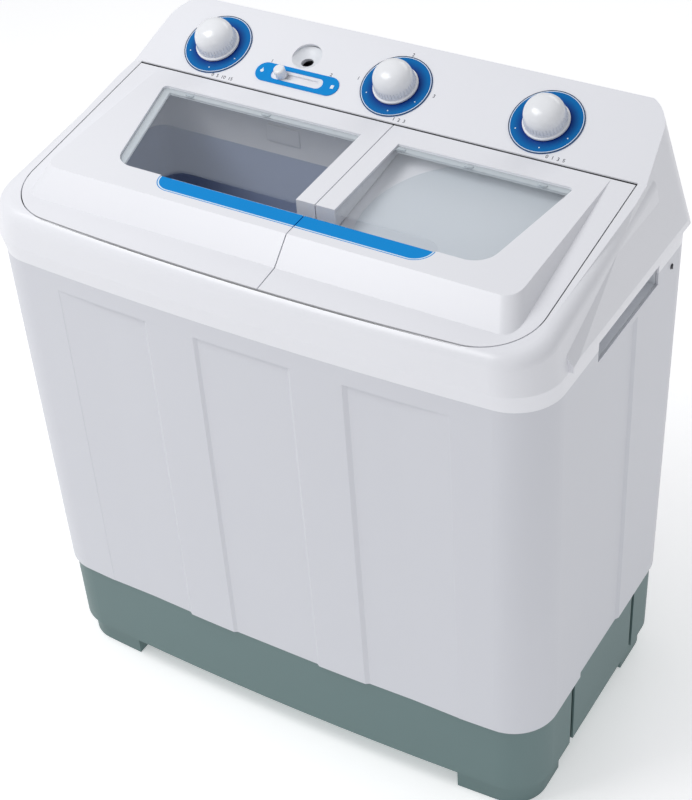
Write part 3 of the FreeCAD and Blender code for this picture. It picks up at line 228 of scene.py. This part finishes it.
# %% Plastic materials
def plastic(name, colour, shade, rough, grain_scale=900.0, grain_depth=0.12, waviness=0.1, coat=0.0,
            rough_spread=0.08, specular=0.5):
    """Moulded plastic whose colour moves between colour and shade."""
    material, tree, shader = new_material(name)
    shader.inputs["Specular IOR Level"].default_value = specular
    shader.inputs["Coat Weight"].default_value = coat
    shader.inputs["Coat Roughness"].default_value = 0.08
    surface = tree.nodes.new("ShaderNodeGroup")
    surface.node_tree = MOULDED
    surface.inputs["Grain Scale"].default_value = grain_scale
    surface.inputs["Grain Depth"].default_value = grain_depth
    surface.inputs["Waviness"].default_value = waviness
    tree.links.new(object_place(tree)[0], surface.inputs["Vector"])
    mottle = surface.outputs["Mottle"]
    tree.links.new(colour_mix(tree, mottle, shade, colour), shader.inputs["Base Color"])
    drift = math_node(tree, "MULTIPLY_ADD", mottle, rough_spread, rough - rough_spread / 2)
    tree.links.new(drift, shader.inputs["Roughness"])
    tree.links.new(surface.outputs["Normal"], shader.inputs["Normal"])
    return material


WHITE_SHELL = plastic("white_shell", (0.86, 0.865, 0.90), (0.83, 0.835, 0.875), 0.30, waviness=0.05)
WHITE_CABINET = plastic("white_cabinet", (0.68, 0.69, 0.735), (0.655, 0.665, 0.71), 0.38, waviness=0.08)
GREY_BASE = plastic("grey_base", (0.128, 0.205, 0.205), (0.115, 0.188, 0.188), 0.48, grain_depth=0.4)
KNOB_WHITE = plastic("knob_white", (0.88, 0.89, 0.91), (0.85, 0.86, 0.89), 0.22, coat=0.2)
BLUE_TRIM = plastic("blue_trim", (0.0, 0.27, 0.70), (0.0, 0.24, 0.64), 0.34, specular=0.15)
BLACK_CASE = plastic("black_case", (0.02, 0.02, 0.022), (0.015, 0.015, 0.017), 0.45)
TUB_BLUE = plastic("tub_plastic", (0.42, 0.49, 0.68), (0.34, 0.41, 0.60), 0.35)
INNER_WHITE = plastic("inner_white", (0.78, 0.80, 0.83), (0.74, 0.76, 0.80), 0.40)


def dress(material, *names):
    """Gives CAD nodes a finish through their material slots."""
    for name in names:
        for material_slot in nodes[name].material_slots:
            material_slot.material = material


FINISHES = {"white_shell": WHITE_SHELL, "white_cabinet": WHITE_CABINET, "grey_base": GREY_BASE,
            "knob_white": KNOB_WHITE, "blue_trim": BLUE_TRIM, "black_case": BLACK_CASE,
            "tub_plastic": TUB_BLUE, "white_inner": INNER_WHITE}
print("plastics", sorted(FINISHES))


# %% [markdown]
# ## Painted shade in the lid well
# A band of painted shade runs round the wall of the well that the lids drop
# into: a near-black band that stands in for the shadow in the gap round the
# lids. It is what makes the fine dark line round both lids. It is a band of
# the deck's own finish: the part of the well's wall that lies a few
# millimetres under the deck's sloping face. Where the band lies follows from
# the lids' own box.

# %% Deck finish with its band of painted shade
well_front_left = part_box("wash_lid_frame")[0]
well_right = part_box("spin_lid_frame")[1].x
DECK_RISE = math.tan(math.radians(8.4))
LID_BACK_Y, LID_BACK_Z = 0.101, 0.7815
LID_BOW = 0.104
LID_CORNER = 0.070
# depths under the deck's face and reaches of the painted shade band in the well
GAP_SHADE_TOP, GAP_SHADE_FOOT = 0.0010, 0.0100
GAP_SHADE_REACH = 0.0022
BACK_REACH = 0.0060
CORNER_REACH = 0.0024


def deck_material():
    """The deck's own plastic with a band of painted shade on the well's wall."""
    material, tree, shader = recoloured(WHITE_SHELL, "white_deck")
    across, along, height = object_place(tree)[1]
    plane = math_node(tree, "MULTIPLY_ADD", along, DECK_RISE, LID_BACK_Z - LID_BACK_Y * DECK_RISE)
    depth = math_node(tree, "SUBTRACT", plane, height)
    square = math_node(tree, "MULTIPLY", across, across)
    unbowed = math_node(tree, "SUBTRACT", along, math_node(tree, "MULTIPLY", square, LID_BOW))
    band = mask_between(tree, depth, GAP_SHADE_TOP, GAP_SHADE_FOOT)
    inside = mask_between(tree, across, well_front_left.x - GAP_SHADE_REACH, well_right + GAP_SHADE_REACH)
    ahead = mask_between(tree, unbowed, well_front_left.y - GAP_SHADE_REACH, LID_BACK_Y + BACK_REACH)
    # the well's front corners are round, so the band follows their arcs
    off_middle = math_node(tree, "ABSOLUTE", across)
    past_side = math_node(tree, "SUBTRACT", off_middle, well_right - LID_CORNER)
    past_front = math_node(tree, "SUBTRACT", well_front_left.y + LID_CORNER, unbowed)
    reach = length_of(tree, math_node(tree, "MAXIMUM", past_side, 0.0),
                      math_node(tree, "MAXIMUM", past_front, 0.0))
    gap_shade = math_node(tree, "LESS_THAN", reach, LID_CORNER + CORNER_REACH)
    for mask in (band, inside, ahead):
        gap_shade = math_node(tree, "MULTIPLY", gap_shade, mask)
    # painted shade: the well's wall goes near black where the gap round the lids falls in shadow
    gap_shaded = colour_mix(tree, gap_shade, base_colour(shader), (0.03, 0.03, 0.035))
    tree.links.new(gap_shaded, shader.inputs["Base Color"])
    return material


WHITE_DECK = deck_material()
print("well from", round(well_front_left.x, 4), "to", round(well_right, 4))

# %% [markdown]
# ## Hidden and mechanical finishes
# What lies behind the lids and under the deck is seen when the lids are
# open, or from below: steel shafts and drums, cast and folded metal, rubber,
# and the rougher plastics. Metals get fine brushed streaks from a stretched
# noise; rubber is dark and matt.


# %% Brushed streaks
def brushed_group():
    group, start, end = new_group(
        "brushed_streaks",
        [("Vector", "NodeSocketVector", None), ("Streak Scale", "NodeSocketFloat", 60.0)],
        [("Streak", "NodeSocketFloat"), ("Normal", "NodeSocketVector")])
    stretch = group.nodes.new("ShaderNodeMapping")
    stretch.inputs["Scale"].default_value = (1.0, 1.0, 14.0)
    group.links.new(start.outputs["Vector"], stretch.inputs["Vector"])
    streak = noise(group, stretch.outputs["Vector"], start.outputs["Streak Scale"], 4.0)
    group.links.new(streak, end.inputs["Streak"])
    group.links.new(bump_from(group, streak, 0.15, 0.0004), end.inputs["Normal"])
    return group


BRUSHED = brushed_group()
STREAK_SPREAD = 0.18


def metal(name, colour, shade, rough, metallic=1.0, streak_scale=60.0):
    """Metal with fine streaks that move its colour and roughness."""
    material, tree, shader = new_material(name)
    shader.inputs["Metallic"].default_value = metallic
    streaks = tree.nodes.new("ShaderNodeGroup")
    streaks.node_tree = BRUSHED
    streaks.inputs["Streak Scale"].default_value = streak_scale
    tree.links.new(object_place(tree)[0], streaks.inputs["Vector"])
    streak = streaks.outputs["Streak"]
    tree.links.new(colour_mix(tree, streak, shade, colour), shader.inputs["Base Color"])
    drift = math_node(tree, "MULTIPLY_ADD", streak, STREAK_SPREAD, rough - STREAK_SPREAD / 2)
    tree.links.new(drift, shader.inputs["Roughness"])
    tree.links.new(streaks.outputs["Normal"], shader.inputs["Normal"])
    return material


FINISHES.update({
    "pulsator_plastic": plastic("pulsator_plastic", (0.30, 0.36, 0.50), (0.26, 0.31, 0.44), 0.32),
    "basket_plastic": plastic("basket_plastic", (0.62, 0.68, 0.76), (0.56, 0.62, 0.71), 0.38),
    "rubber_parts": plastic("rubber_parts", (0.035, 0.036, 0.038), (0.06, 0.06, 0.06), 0.72,
                            grain_depth=0.5),
    "hose_rubber": plastic("hose_rubber", (0.16, 0.17, 0.18), (0.12, 0.13, 0.14), 0.62, grain_depth=0.4),
    "inner_lid_plastic": plastic("inner_lid_plastic", (0.66, 0.70, 0.74), (0.58, 0.62, 0.67), 0.28,
                                 waviness=0.6),
    "rear_plate": plastic("rear_plate", (0.70, 0.71, 0.74), (0.64, 0.65, 0.68), 0.50, grain_depth=0.35),
    "bearing_bronze": metal("bearing_bronze", (0.62, 0.42, 0.20), (0.48, 0.31, 0.14), 0.34),
    "steel_parts": metal("steel_parts", (0.66, 0.67, 0.69), (0.50, 0.51, 0.53), 0.30),
    "screw_steel": metal("screw_steel", (0.62, 0.63, 0.65), (0.40, 0.41, 0.43), 0.36),
    "cast_parts": metal("cast_parts", (0.36, 0.37, 0.39), (0.26, 0.27, 0.29), 0.52, metallic=0.8,
                        streak_scale=240.0),
    "motor_metal": metal("motor_metal", (0.42, 0.43, 0.45), (0.30, 0.31, 0.33), 0.46, metallic=0.9),
    "bracket_metal": metal("bracket_metal", (0.58, 0.60, 0.62), (0.44, 0.46, 0.48), 0.42,
                           streak_scale=120.0)})
for part in frame["record"]["subparts"]:
    if part["material_slot"] in FINISHES:
        dress(FINISHES[part["material_slot"]], part["node"])
dress(WHITE_DECK, "top_deck")
slots_used = {part["material_slot"] for part in frame["record"]["subparts"]}
left_over = sorted(slots_used - set(FINISHES) - {"clear_pane"})
print("finishes", len(FINISHES), "without one", left_over)

# %% [markdown]
# ## Clear panes
# The windows are clear moulded panes. Thin, flat acrylic shows mostly what is
# behind it, with a pale gloss that grows towards its edge-on side. Alpha by
# angle does this without bending light, so what is under a lid stays crisp. A
# frosted band runs along the left and back edges, where the pane is clipped in.


# %% Clear pane
PANE_BAND = 0.011
BAND_COVER = 0.42
CLEAR_COVER = 0.03
GLOSS_COVER = 0.15


def clear_material(side, left, lean, back_edge):
    """Clear pane with its frosted band along the left and back edges."""
    material, tree, shader = new_material(side + "_clear_pane")
    shader.inputs["Roughness"].default_value = 0.06
    shader.inputs["Specular IOR Level"].default_value = 0.35
    place, (across, along, _) = object_place(tree)
    haze = noise(tree, place, 6.0, 3.0)
    tint = colour_mix(tree, haze, (0.80, 0.88, 0.93), (0.90, 0.95, 0.98))
    tree.links.new(tint, shader.inputs["Base Color"])
    edge = tree.nodes.new("ShaderNodeLayerWeight")
    edge.inputs["Blend"].default_value = 0.25
    cover = math_node(tree, "MULTIPLY_ADD", edge.outputs["Facing"], GLOSS_COVER, CLEAR_COVER)
    leaned = math_node(tree, "MULTIPLY", math_node(tree, "SUBTRACT", back_edge, along), lean)
    straightened = math_node(tree, "SUBTRACT", across, leaned)
    near_left = math_node(tree, "LESS_THAN", straightened, left + PANE_BAND)
    near_back = math_node(tree, "GREATER_THAN", along, back_edge - PANE_BAND)
    band = math_node(tree, "MAXIMUM", near_left, near_back)
    banded = math_node(tree, "ADD", cover, math_node(tree, "MULTIPLY", band, BAND_COVER))
    tree.links.new(banded, shader.inputs["Alpha"])
    return material


# left edge, how far it leans inward for each metre forward, and back edge
PANE_EDGES = {"wash": (-0.2850, 0.275, 0.0680), "spin": (0.0250, 0.0, 0.0680)}
for side, (left, lean, back_edge) in PANE_EDGES.items():
    dress(clear_material(side, left, lean, back_edge), side + "_lid_window")
print("panes dressed")

# %% [markdown]
# ## Building on the panel
# The control panel slopes, so its small pieces are modelled lying flat and
# then moved onto it. Each dial's joint gives the middle of the dial, and the
# joint's axis gives the direction out of the panel.

# %% Panel axes and piece helpers
joints = {joint["name"]: joint for joint in frame["joints"]}
dial_axis = Vector(joints["spin_timer_turn"]["axis"])
panel_out = dial_axis if dial_axis.z > 0 else -dial_axis
panel_across = Vector((1, 0, 0))
panel_up = panel_out.cross(panel_across).normalized()
DIAL_UP = 0.053
DIAL_LIFT = 0.010


def on_panel(across, up_slope, lift=0.0):
    """Matrix that carries a flat piece onto the panel: across, up the slope and out of it."""
    start = Vector(joints["spin_timer_turn"]["pos_m"])
    start = Vector((0, start.y, start.z)) + panel_up * (up_slope - DIAL_UP) + panel_out * (lift - DIAL_LIFT)
    turn = Matrix((panel_across, panel_up, panel_out)).transposed().to_4x4()
    return Matrix.Translation(start + panel_across * across) @ turn


print("panel out", [round(v, 3) for v in panel_out])


def smooth(mesh, angle=35.0):
    """Smooth shading with creases kept sharper than an angle."""
    for polygon in mesh.polygons:
        polygon.use_smooth = True
    mesh.set_sharp_from_angle(angle=math.radians(angle))


def make_piece(name, work, material, body, matrix=None, angle=35.0):
    """Turns a bmesh into a finished piece that rides on a body."""
    bmesh.ops.remove_doubles(work, verts=work.verts, dist=1e-6)
    bmesh.ops.recalc_face_normals(work, faces=work.faces)
    if matrix is not None:
        bmesh.ops.transform(work, matrix=matrix, verts=work.verts)
    mesh = bpy.data.meshes.new(name)
    work.to_mesh(mesh)
    work.free()
    mesh.materials.append(material)
    smooth(mesh, angle)
    piece = bpy.data.objects.new(name, mesh)
    bpy.context.scene.collection.objects.link(piece)
    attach(piece, body)
    return piece


def spun(work, profile, steps):
    """Spins an open profile of (radius, height) pairs right round the upright axis."""
    points = [work.verts.new((radius, 0, height)) for radius, height in profile]
    edges = [work.edges.new(pair) for pair in zip(points, points[1:])]
    bmesh.ops.spin(work, geom=points + edges, cent=(0, 0, 0), axis=(0, 0, 1), angle=math.tau,
                   steps=steps, use_merge=True)


def add_box(work, size, place=(0, 0, 0)):
    """Adds a box of a size with its middle at a place."""
    box = bmesh.ops.create_cube(work, size=1.0)["verts"]
    bmesh.ops.scale(work, vec=size, verts=box)
    bmesh.ops.translate(work, vec=place, verts=box)


def soften(work, offset):
    """Rounds every edge a little."""
    bmesh.ops.bevel(work, geom=work.edges, offset=offset, segments=2, profile=0.5, affect="EDGES",
                    material=-1)


# %% [markdown]
# ## Knobs
# Each dial has a bullet-shaped knob, wide at its foot and round at its crown,
# with short flutes low on its side for wet fingers. A profile spun right
# round gives the body. Every third face of one band is inset and pressed in
# for the flutes, which is how a mould tool is cut as well.

# %% Fluted knobs
KNOB_STEPS = 120
FLUTE_LOW, FLUTE_HIGH = 0.0075, 0.0160
MILLIMETRE = 0.001
# radius and height, in millimetres, from the foot's middle to the crown's
KNOB_PROFILE = [(0, 1.8), (28.2, 1.8), (28.9, 2.5), (28.8, 4.6), (27.0, 5.7), (26.8, 7.2),
                (25.7, 16.5), (25.2, 20.0), (24.0, 24.0), (22.0, 27.6), (19.4, 30.6), (16.0, 33.1),
                (12.0, 34.9), (7.5, 35.8), (3.0, 36.0), (0, 36.0)]
DIALS = {"wash_timer": "wash_timer_turn", "selector": "selector_turn", "spin_timer": "spin_timer_turn"}


def fluted_knob(name, across, body):
    """Knob with pressed-in flutes; gives it and the number of flutes."""
    work = bmesh.new()
    spun(work, [(radius * MILLIMETRE, height * MILLIMETRE) for radius, height in KNOB_PROFILE], KNOB_STEPS)
    bmesh.ops.remove_doubles(work, verts=work.verts, dist=1e-6)
    bmesh.ops.recalc_face_normals(work, faces=work.faces)
    band = []
    for face in work.faces:
        middle = face.calc_center_median()
        step = int(round(math.atan2(middle.y, middle.x) / math.tau * KNOB_STEPS - 0.5)) % KNOB_STEPS
        if FLUTE_LOW < middle.z < FLUTE_HIGH and step % 3 == 0:
            band.append(face)
    bmesh.ops.inset_individual(work, faces=band, thickness=0.00025, depth=-0.0008)
    knob = make_piece(name, work, KNOB_WHITE, body, on_panel(across, DIAL_UP), 30.0)
    return knob, len(band)


for name, joint_name in DIALS.items():
    joint = joints[joint_name]
    knob, flutes = fluted_knob("fluted_" + name + "_knob", joint["pos_m"][0], joint["child"])
    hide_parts(name + "_knob")
    print(knob.name, "flutes", flutes)

# %% [markdown]
# ## Dial rings
# The blue rings are printed plates. Painted shade darkens their blue towards
# the knob, standing in for the knob's shadow. A fine dark line runs round the
# outside with a light line inside it, and three small light dots mark the
# settings. The depth of the painted shade is worked out from the distance to
# the nearest dial's middle, so one finish serves all three.


# %% Ring finish with painted knob shade
# distances from the dial's middle where the painted knob shade is deepest and where it has faded out
KNOB_SHADE_INNER, KNOB_SHADE_OUTER = 0.029, 0.040


def ring_with_knob_shade():
    """Blue print with painted shade that darkens it towards the nearest dial's middle, for the knob's shadow."""
    material = plastic("dial_blue_knob_shade", (0.0, 0.15, 0.44), (0.0, 0.13, 0.40), 0.34, specular=0.15)
    tree = material.node_tree
    shader = tree.nodes["Principled BSDF"]
    place = object_place(tree)[0]
    nearest = None
    for joint_name in DIALS.values():
        middle = Vector(joints[joint_name]["pos_m"]) - panel_out * DIAL_LIFT
        away = tree.nodes.new("ShaderNodeVectorMath")
        away.operation = "DISTANCE"
        tree.links.new(place, away.inputs[0])
        away.inputs[1].default_value = middle
        value = away.outputs["Value"]
        nearest = value if nearest is None else math_node(tree, "MINIMUM", nearest, value)
    span = tree.nodes.new("ShaderNodeMapRange")
    span.inputs["From Min"].default_value, span.inputs["From Max"].default_value = KNOB_SHADE_INNER, KNOB_SHADE_OUTER
    tree.links.new(nearest, span.inputs["Value"])
    # painted shade: navy close to the knob, fading to the plain blue further out, for the knob's shadow on the
    # ring
    knob_shaded = colour_mix(tree, span.outputs["Result"], (0.003, 0.03, 0.22), base_colour(shader))
    tree.links.new(knob_shaded, shader.inputs["Base Color"])
    return material


dress(ring_with_knob_shade(), "dial_rings")
PRINT_DARK = plastic("print_dark", (0.03, 0.035, 0.06), (0.04, 0.045, 0.07), 0.5)
PRINT_LIGHT = plastic("print_light", (0.80, 0.88, 0.94), (0.76, 0.84, 0.90), 0.4)


# %% Ring lines and dots
PRINT_FOOT = 0.0010
DOT_TURNS = (-25, -80, -150)
DOT_OUT = 0.0375
DOT_LIFT = 0.0012


def flat_ring(work, inner, outer, high):
    """Thin flat ring that stands on the printed plate."""
    low = PRINT_FOOT
    spun(work, [(inner, low), (outer, low), (outer, high), (inner, high), (inner, low)], 96)


def dial_print(name, across):
    """Dark outline, light line and light dots of one dial."""
    dark = bmesh.new()
    flat_ring(dark, 0.0450, 0.0459, 0.00135)
    make_piece(name + "_ring_outline", dark, PRINT_DARK, "cabinet", on_panel(across, DIAL_UP))
    light = bmesh.new()
    flat_ring(light, 0.0437, 0.0445, 0.00132)
    for turn in DOT_TURNS:
        spot = bmesh.ops.create_uvsphere(light, u_segments=12, v_segments=8, radius=0.0009)["verts"]
        bmesh.ops.scale(light, vec=(1, 1, 0.4), verts=spot)
        away = Matrix.Rotation(math.radians(turn), 3, "Z") @ Vector((DOT_OUT, 0, 0))
        bmesh.ops.translate(light, vec=away + Vector((0, 0, DOT_LIFT)), verts=spot)
    make_piece(name + "_ring_light", light, PRINT_LIGHT, "cabinet", on_panel(across, DIAL_UP))


for name, joint_name in DIALS.items():
    dial_print(name, joints[joint_name]["pos_m"][0])
print("dial prints done")

# %% [markdown]
# ## Scale numbers
# Small dark numbers stand by each dial and the slider. They are text set flat,
# made a mesh, and then carried onto the panel.


# %% Numbers on the panel
NUMBER_SIZE = 0.0068
NUMBER_DEPTH = 0.00008
NUMBER_LIFT = 0.0001


def printed(name, words, across, up_slope):
    """Text piece lying on the panel."""
    curve = bpy.data.curves.new(name, "FONT")
    curve.body = words
    curve.size = NUMBER_SIZE
    curve.extrude = NUMBER_DEPTH
    curve.align_x, curve.align_y = "CENTER", "CENTER"
    holder = bpy.data.objects.new(name, curve)
    bpy.context.scene.collection.objects.link(holder)
    bpy.context.view_layer.update()
    mesh = bpy.data.meshes.new_from_object(holder.evaluated_get(bpy.context.evaluated_depsgraph_get()))
    bpy.data.objects.remove(holder)
    work = bmesh.new()
    work.from_mesh(mesh)
    bpy.data.meshes.remove(mesh)
    make_piece(name, work, PRINT_DARK, "cabinet", on_panel(across, up_slope, NUMBER_LIFT))


NUMBERS = [("wash_scale", "0  5  10  15", -0.224, 0.0072), ("spin_scale", "0  1  3  5", 0.241, 0.0072),
           ("selector_scale", "1  2  3", 0.033, 0.0072), ("selector_left_mark", "1", -0.046, 0.052),
           ("selector_top_mark", "2", 0.007, 0.103), ("selector_right_mark", "3", 0.060, 0.052),
           ("water_left_mark", "1", -0.170, 0.0475), ("water_right_mark", "2", -0.083, 0.0475)]
for name, words, across, up_slope in NUMBERS:
    printed(name, words, across, up_slope)
print("numbers", len(NUMBERS))

# %% [markdown]
# ## Slider
# The water slider runs in a long slot in a blue bezel. A white shutter behind
# the panel moves with it and keeps the slot shut, as it does on most such
# panels. Two small plain signs stand at the bezel's ends.

# %% Shutter and signs
bezel_low, bezel_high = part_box("slider_bezel")
bezel_middle = (bezel_low.x + bezel_high.x) / 2
SLIDER_UP = 0.030
SLOT_LENGTH = 0.065
SHUTTER_SINK = 0.0034
TRAVEL = joints["water_slide"]["range_m"][1]
shutter = bmesh.new()
add_box(shutter, (SLOT_LENGTH + TRAVEL, 0.011, 0.0011))
soften(shutter, 0.0003)
make_piece("slider_shutter", shutter, WHITE_SHELL, "water_slider",
           on_panel(bezel_middle - TRAVEL / 2, SLIDER_UP, -SHUTTER_SINK))

SIGN_OUT, SIGN_LIFT, SIGN_DEPTH = 0.0515, 0.0013, 0.0004
DROP_RADIUS = 0.0024
DROP_SHOULDER = 0.0015
signs = bmesh.new()
drop = bmesh.ops.create_cone(signs, cap_ends=True, segments=24, radius1=DROP_RADIUS,
                             radius2=DROP_RADIUS, depth=SIGN_DEPTH)["verts"]
# above its shoulder the round is drawn up and pinched into a drop's tip
for vert in drop:
    if vert.co.y > DROP_SHOULDER:
        vert.co.y += (vert.co.y - DROP_SHOULDER) * 2.2
        vert.co.x *= 0.45
bmesh.ops.translate(signs, vec=(-SIGN_OUT, 0, SIGN_LIFT), verts=drop)
add_box(signs, (0.0042, 0.0052, SIGN_DEPTH), (SIGN_OUT, 0, SIGN_LIFT))
make_piece("slider_signs", signs, PRINT_LIGHT, "cabinet", on_panel(bezel_middle, SLIDER_UP))
print("slider travel", round(TRAVEL, 3))

# %% [markdown]
# ## Window lugs
# Small moulded lugs along the back of each pane clip it into its lid. They
# are pale and slightly bevelled.

# %% Clip lugs
PANE_SLOPE = math.tan(math.radians(2.8))
LUG_WHITE = plastic("lug_white", (0.52, 0.57, 0.61), (0.46, 0.51, 0.55), 0.4)
LUG_SIZE = (0.011, 0.0042, 0.0014)
LUG_ALONG = 0.0600
LUGS = {"wash": (-0.242, -0.128), "spin": (0.063, 0.153, 0.248)}
for side, places in LUGS.items():
    pane_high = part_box(side + "_lid_window")[1]
    row = bmesh.new()
    pane_top = pane_high.z - (pane_high.y - LUG_ALONG) * PANE_SLOPE
    for across in places:
        add_box(row, LUG_SIZE, (across, LUG_ALONG, pane_top + LUG_SIZE[2] / 2))
    soften(row, 0.0005)
    make_piece(side + "_window_lugs", row, LUG_WHITE, side + "_lid")
print("lugs", LUGS)

# %% [markdown]
# ## Inlet flap
# A thin white flap hangs in front of the water inlet at the back of the wash
# tub's mouth, so the water falls down the wall and the hole doesn't show.

# %% Flap over the inlet
flap = bmesh.new()
add_box(flap, (0.048, 0.0012, 0.024), (-0.1285, 0.0935, 0.7305))
soften(flap, 0.0004)
make_piece("inlet_flap", flap, WHITE_SHELL, "cabinet")
print("inlet flap done")

# %% [markdown]
# ## Handle strips
# The blue strips are two halves of one long handle with round ends. A fine
# light line is printed just inside its edge, so it follows a long round-ended
# outline: every point at one distance from the handle's middle line. A round
# white lip along the back of the wash strip is where the fingers pull.

# %% Printed line on the strips
strip_low, strip_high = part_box("wash_lid_strip")[0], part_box("spin_lid_strip")[1]
HANDLE_ROUND = 0.024
LINE_FROM, LINE_TO = HANDLE_ROUND - 0.0028, HANDLE_ROUND - 0.0012
handle_y = strip_low.y + HANDLE_ROUND


def strip_material():
    """The trim's blue with a light line just inside the handle's outline."""
    material, tree, shader = recoloured(BLUE_TRIM, "blue_strip")
    across, along, _ = object_place(tree)[1]
    middle = (strip_low.x + strip_high.x) / 2
    half = (strip_high.x - strip_low.x) / 2 - HANDLE_ROUND
    off_middle = math_node(tree, "ABSOLUTE", math_node(tree, "SUBTRACT", across, middle))
    past_end = math_node(tree, "MAXIMUM", math_node(tree, "SUBTRACT", off_middle, half), 0.0)
    ahead = math_node(tree, "SUBTRACT", along, handle_y)
    line = mask_between(tree, length_of(tree, past_end, ahead), LINE_FROM, LINE_TO)
    lined = colour_mix(tree, line, base_colour(shader), (0.72, 0.84, 0.92))
    tree.links.new(lined, shader.inputs["Base Color"])
    return material


dress(strip_material(), "wash_lid_strip", "spin_lid_strip")
print("handle from", round(strip_low.x, 3), "to", round(strip_high.x, 3))

# %% White lip of the wash strip
LIP_RADIUS = 0.0017
LIP_SHORTER = 0.016
LIP_OFFSET = Vector((0.007, 0.0014, -0.0030))
wash_strip_low, wash_strip_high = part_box("wash_lid_strip")
strip_middle = (wash_strip_low.x + wash_strip_high.x) / 2
lip = bmesh.new()
bmesh.ops.create_cone(lip, cap_ends=True, segments=20, radius1=LIP_RADIUS, radius2=LIP_RADIUS,
                      depth=wash_strip_high.x - wash_strip_low.x - LIP_SHORTER)
bmesh.ops.rotate(lip, cent=(0, 0, 0), matrix=Matrix.Rotation(math.pi / 2, 3, "Y"), verts=lip.verts)
lip_place = Vector((strip_middle, wash_strip_high.y, wash_strip_high.z)) + LIP_OFFSET
bmesh.ops.translate(lip, verts=lip.verts, vec=lip_place)
make_piece("wash_strip_lip", lip, KNOB_WHITE, "wash_lid")

# %% [markdown]
# ## Side screws
# One dark screw on each side, low on the seam near the back, ties the deck to
# the cabinet. Its head is domed, with a low bar across it for a driver.

# %% Seam screws
DARK_SCREW = metal("dark_screw", (0.10, 0.10, 0.11), (0.06, 0.06, 0.07), 0.40)
SCREW_OUT, SCREW_ALONG, SCREW_HEIGHT = 0.3757, 0.148, 0.650
HEAD_PROFILE = [(0, 0.0019), (0.0018, 0.0017), (0.0034, 0.0009), (0.0040, 0), (0, 0)]
for name, side in (("left_seam_screw", -1), ("right_seam_screw", 1)):
    head = bmesh.new()
    spun(head, HEAD_PROFILE, 32)
    add_box(head, (0.0064, 0.0010, 0.0008), (0, 0, 0.0017))
    sideways = Matrix.Rotation(side * math.pi / 2, 3, "Y")
    bmesh.ops.rotate(head, cent=(0, 0, 0), matrix=sideways, verts=head.verts)
    bmesh.ops.translate(head, vec=(side * SCREW_OUT, SCREW_ALONG, SCREW_HEIGHT), verts=head.verts)
    make_piece(name, head, DARK_SCREW, "cabinet")
print("seam screws done")

# %% [markdown]
# ## Studio
# A plain pale floor and soft light: one large key light from the front left
# above, a weak fill from the front right, a light from behind for the back
# edges, and an even pale surround. The plain view transform keeps whites white.


# %% Floor and light
def area_light(name, place, target, size, power):
    """Soft white rectangle of light aimed at a target."""
    data = bpy.data.lights.new(name, "AREA")
    data.shape = "RECTANGLE"
    data.size, data.size_y = size
    data.energy = power
    lamp = bpy.data.objects.new(name, data)
    bpy.context.scene.collection.objects.link(lamp)
    lamp.location = place
    lamp.rotation_euler = (Vector(target) - Vector(place)).to_track_quat("-Z", "Y").to_euler()


floor_mesh = bmesh.new()
bmesh.ops.create_grid(floor_mesh, x_segments=1, y_segments=1, size=30.0)
floor_data = bpy.data.meshes.new("studio_floor")
floor_mesh.to_mesh(floor_data)
floor_mesh.free()
floor = bpy.data.objects.new("studio_floor", floor_data)
bpy.context.scene.collection.objects.link(floor)
floor_material, _, floor_shader = new_material("studio_floor")
floor_shader.inputs["Base Color"].default_value = (0.98, 0.98, 0.98, 1)
floor_shader.inputs["Roughness"].default_value = 0.9
floor_shader.inputs["Emission Color"].default_value = (1, 1, 1, 1)
floor_shader.inputs["Emission Strength"].default_value = 0.36
floor_data.materials.append(floor_material)

area_light("key", (-1.0, -0.9, 2.7), (0, 0, 0.6), (1.6, 1.2), 33)
area_light("front_fill", (1.8, -2.6, 1.2), (0, 0, 0.3), (2.0, 2.0), 2)
area_light("back_rim", (0.4, 2.4, 2.4), (0, 0, 0.8), (2.0, 1.0), 10)
bpy.context.scene.view_settings.view_transform = "Standard"
world = bpy.data.worlds.new("studio")
bpy.context.scene.world = world
world.use_nodes = True
surround = world.node_tree.nodes["Background"]
surround.inputs["Color"].default_value = (0.96, 0.97, 1.0, 1)
surround.inputs["Strength"].default_value = 0.45
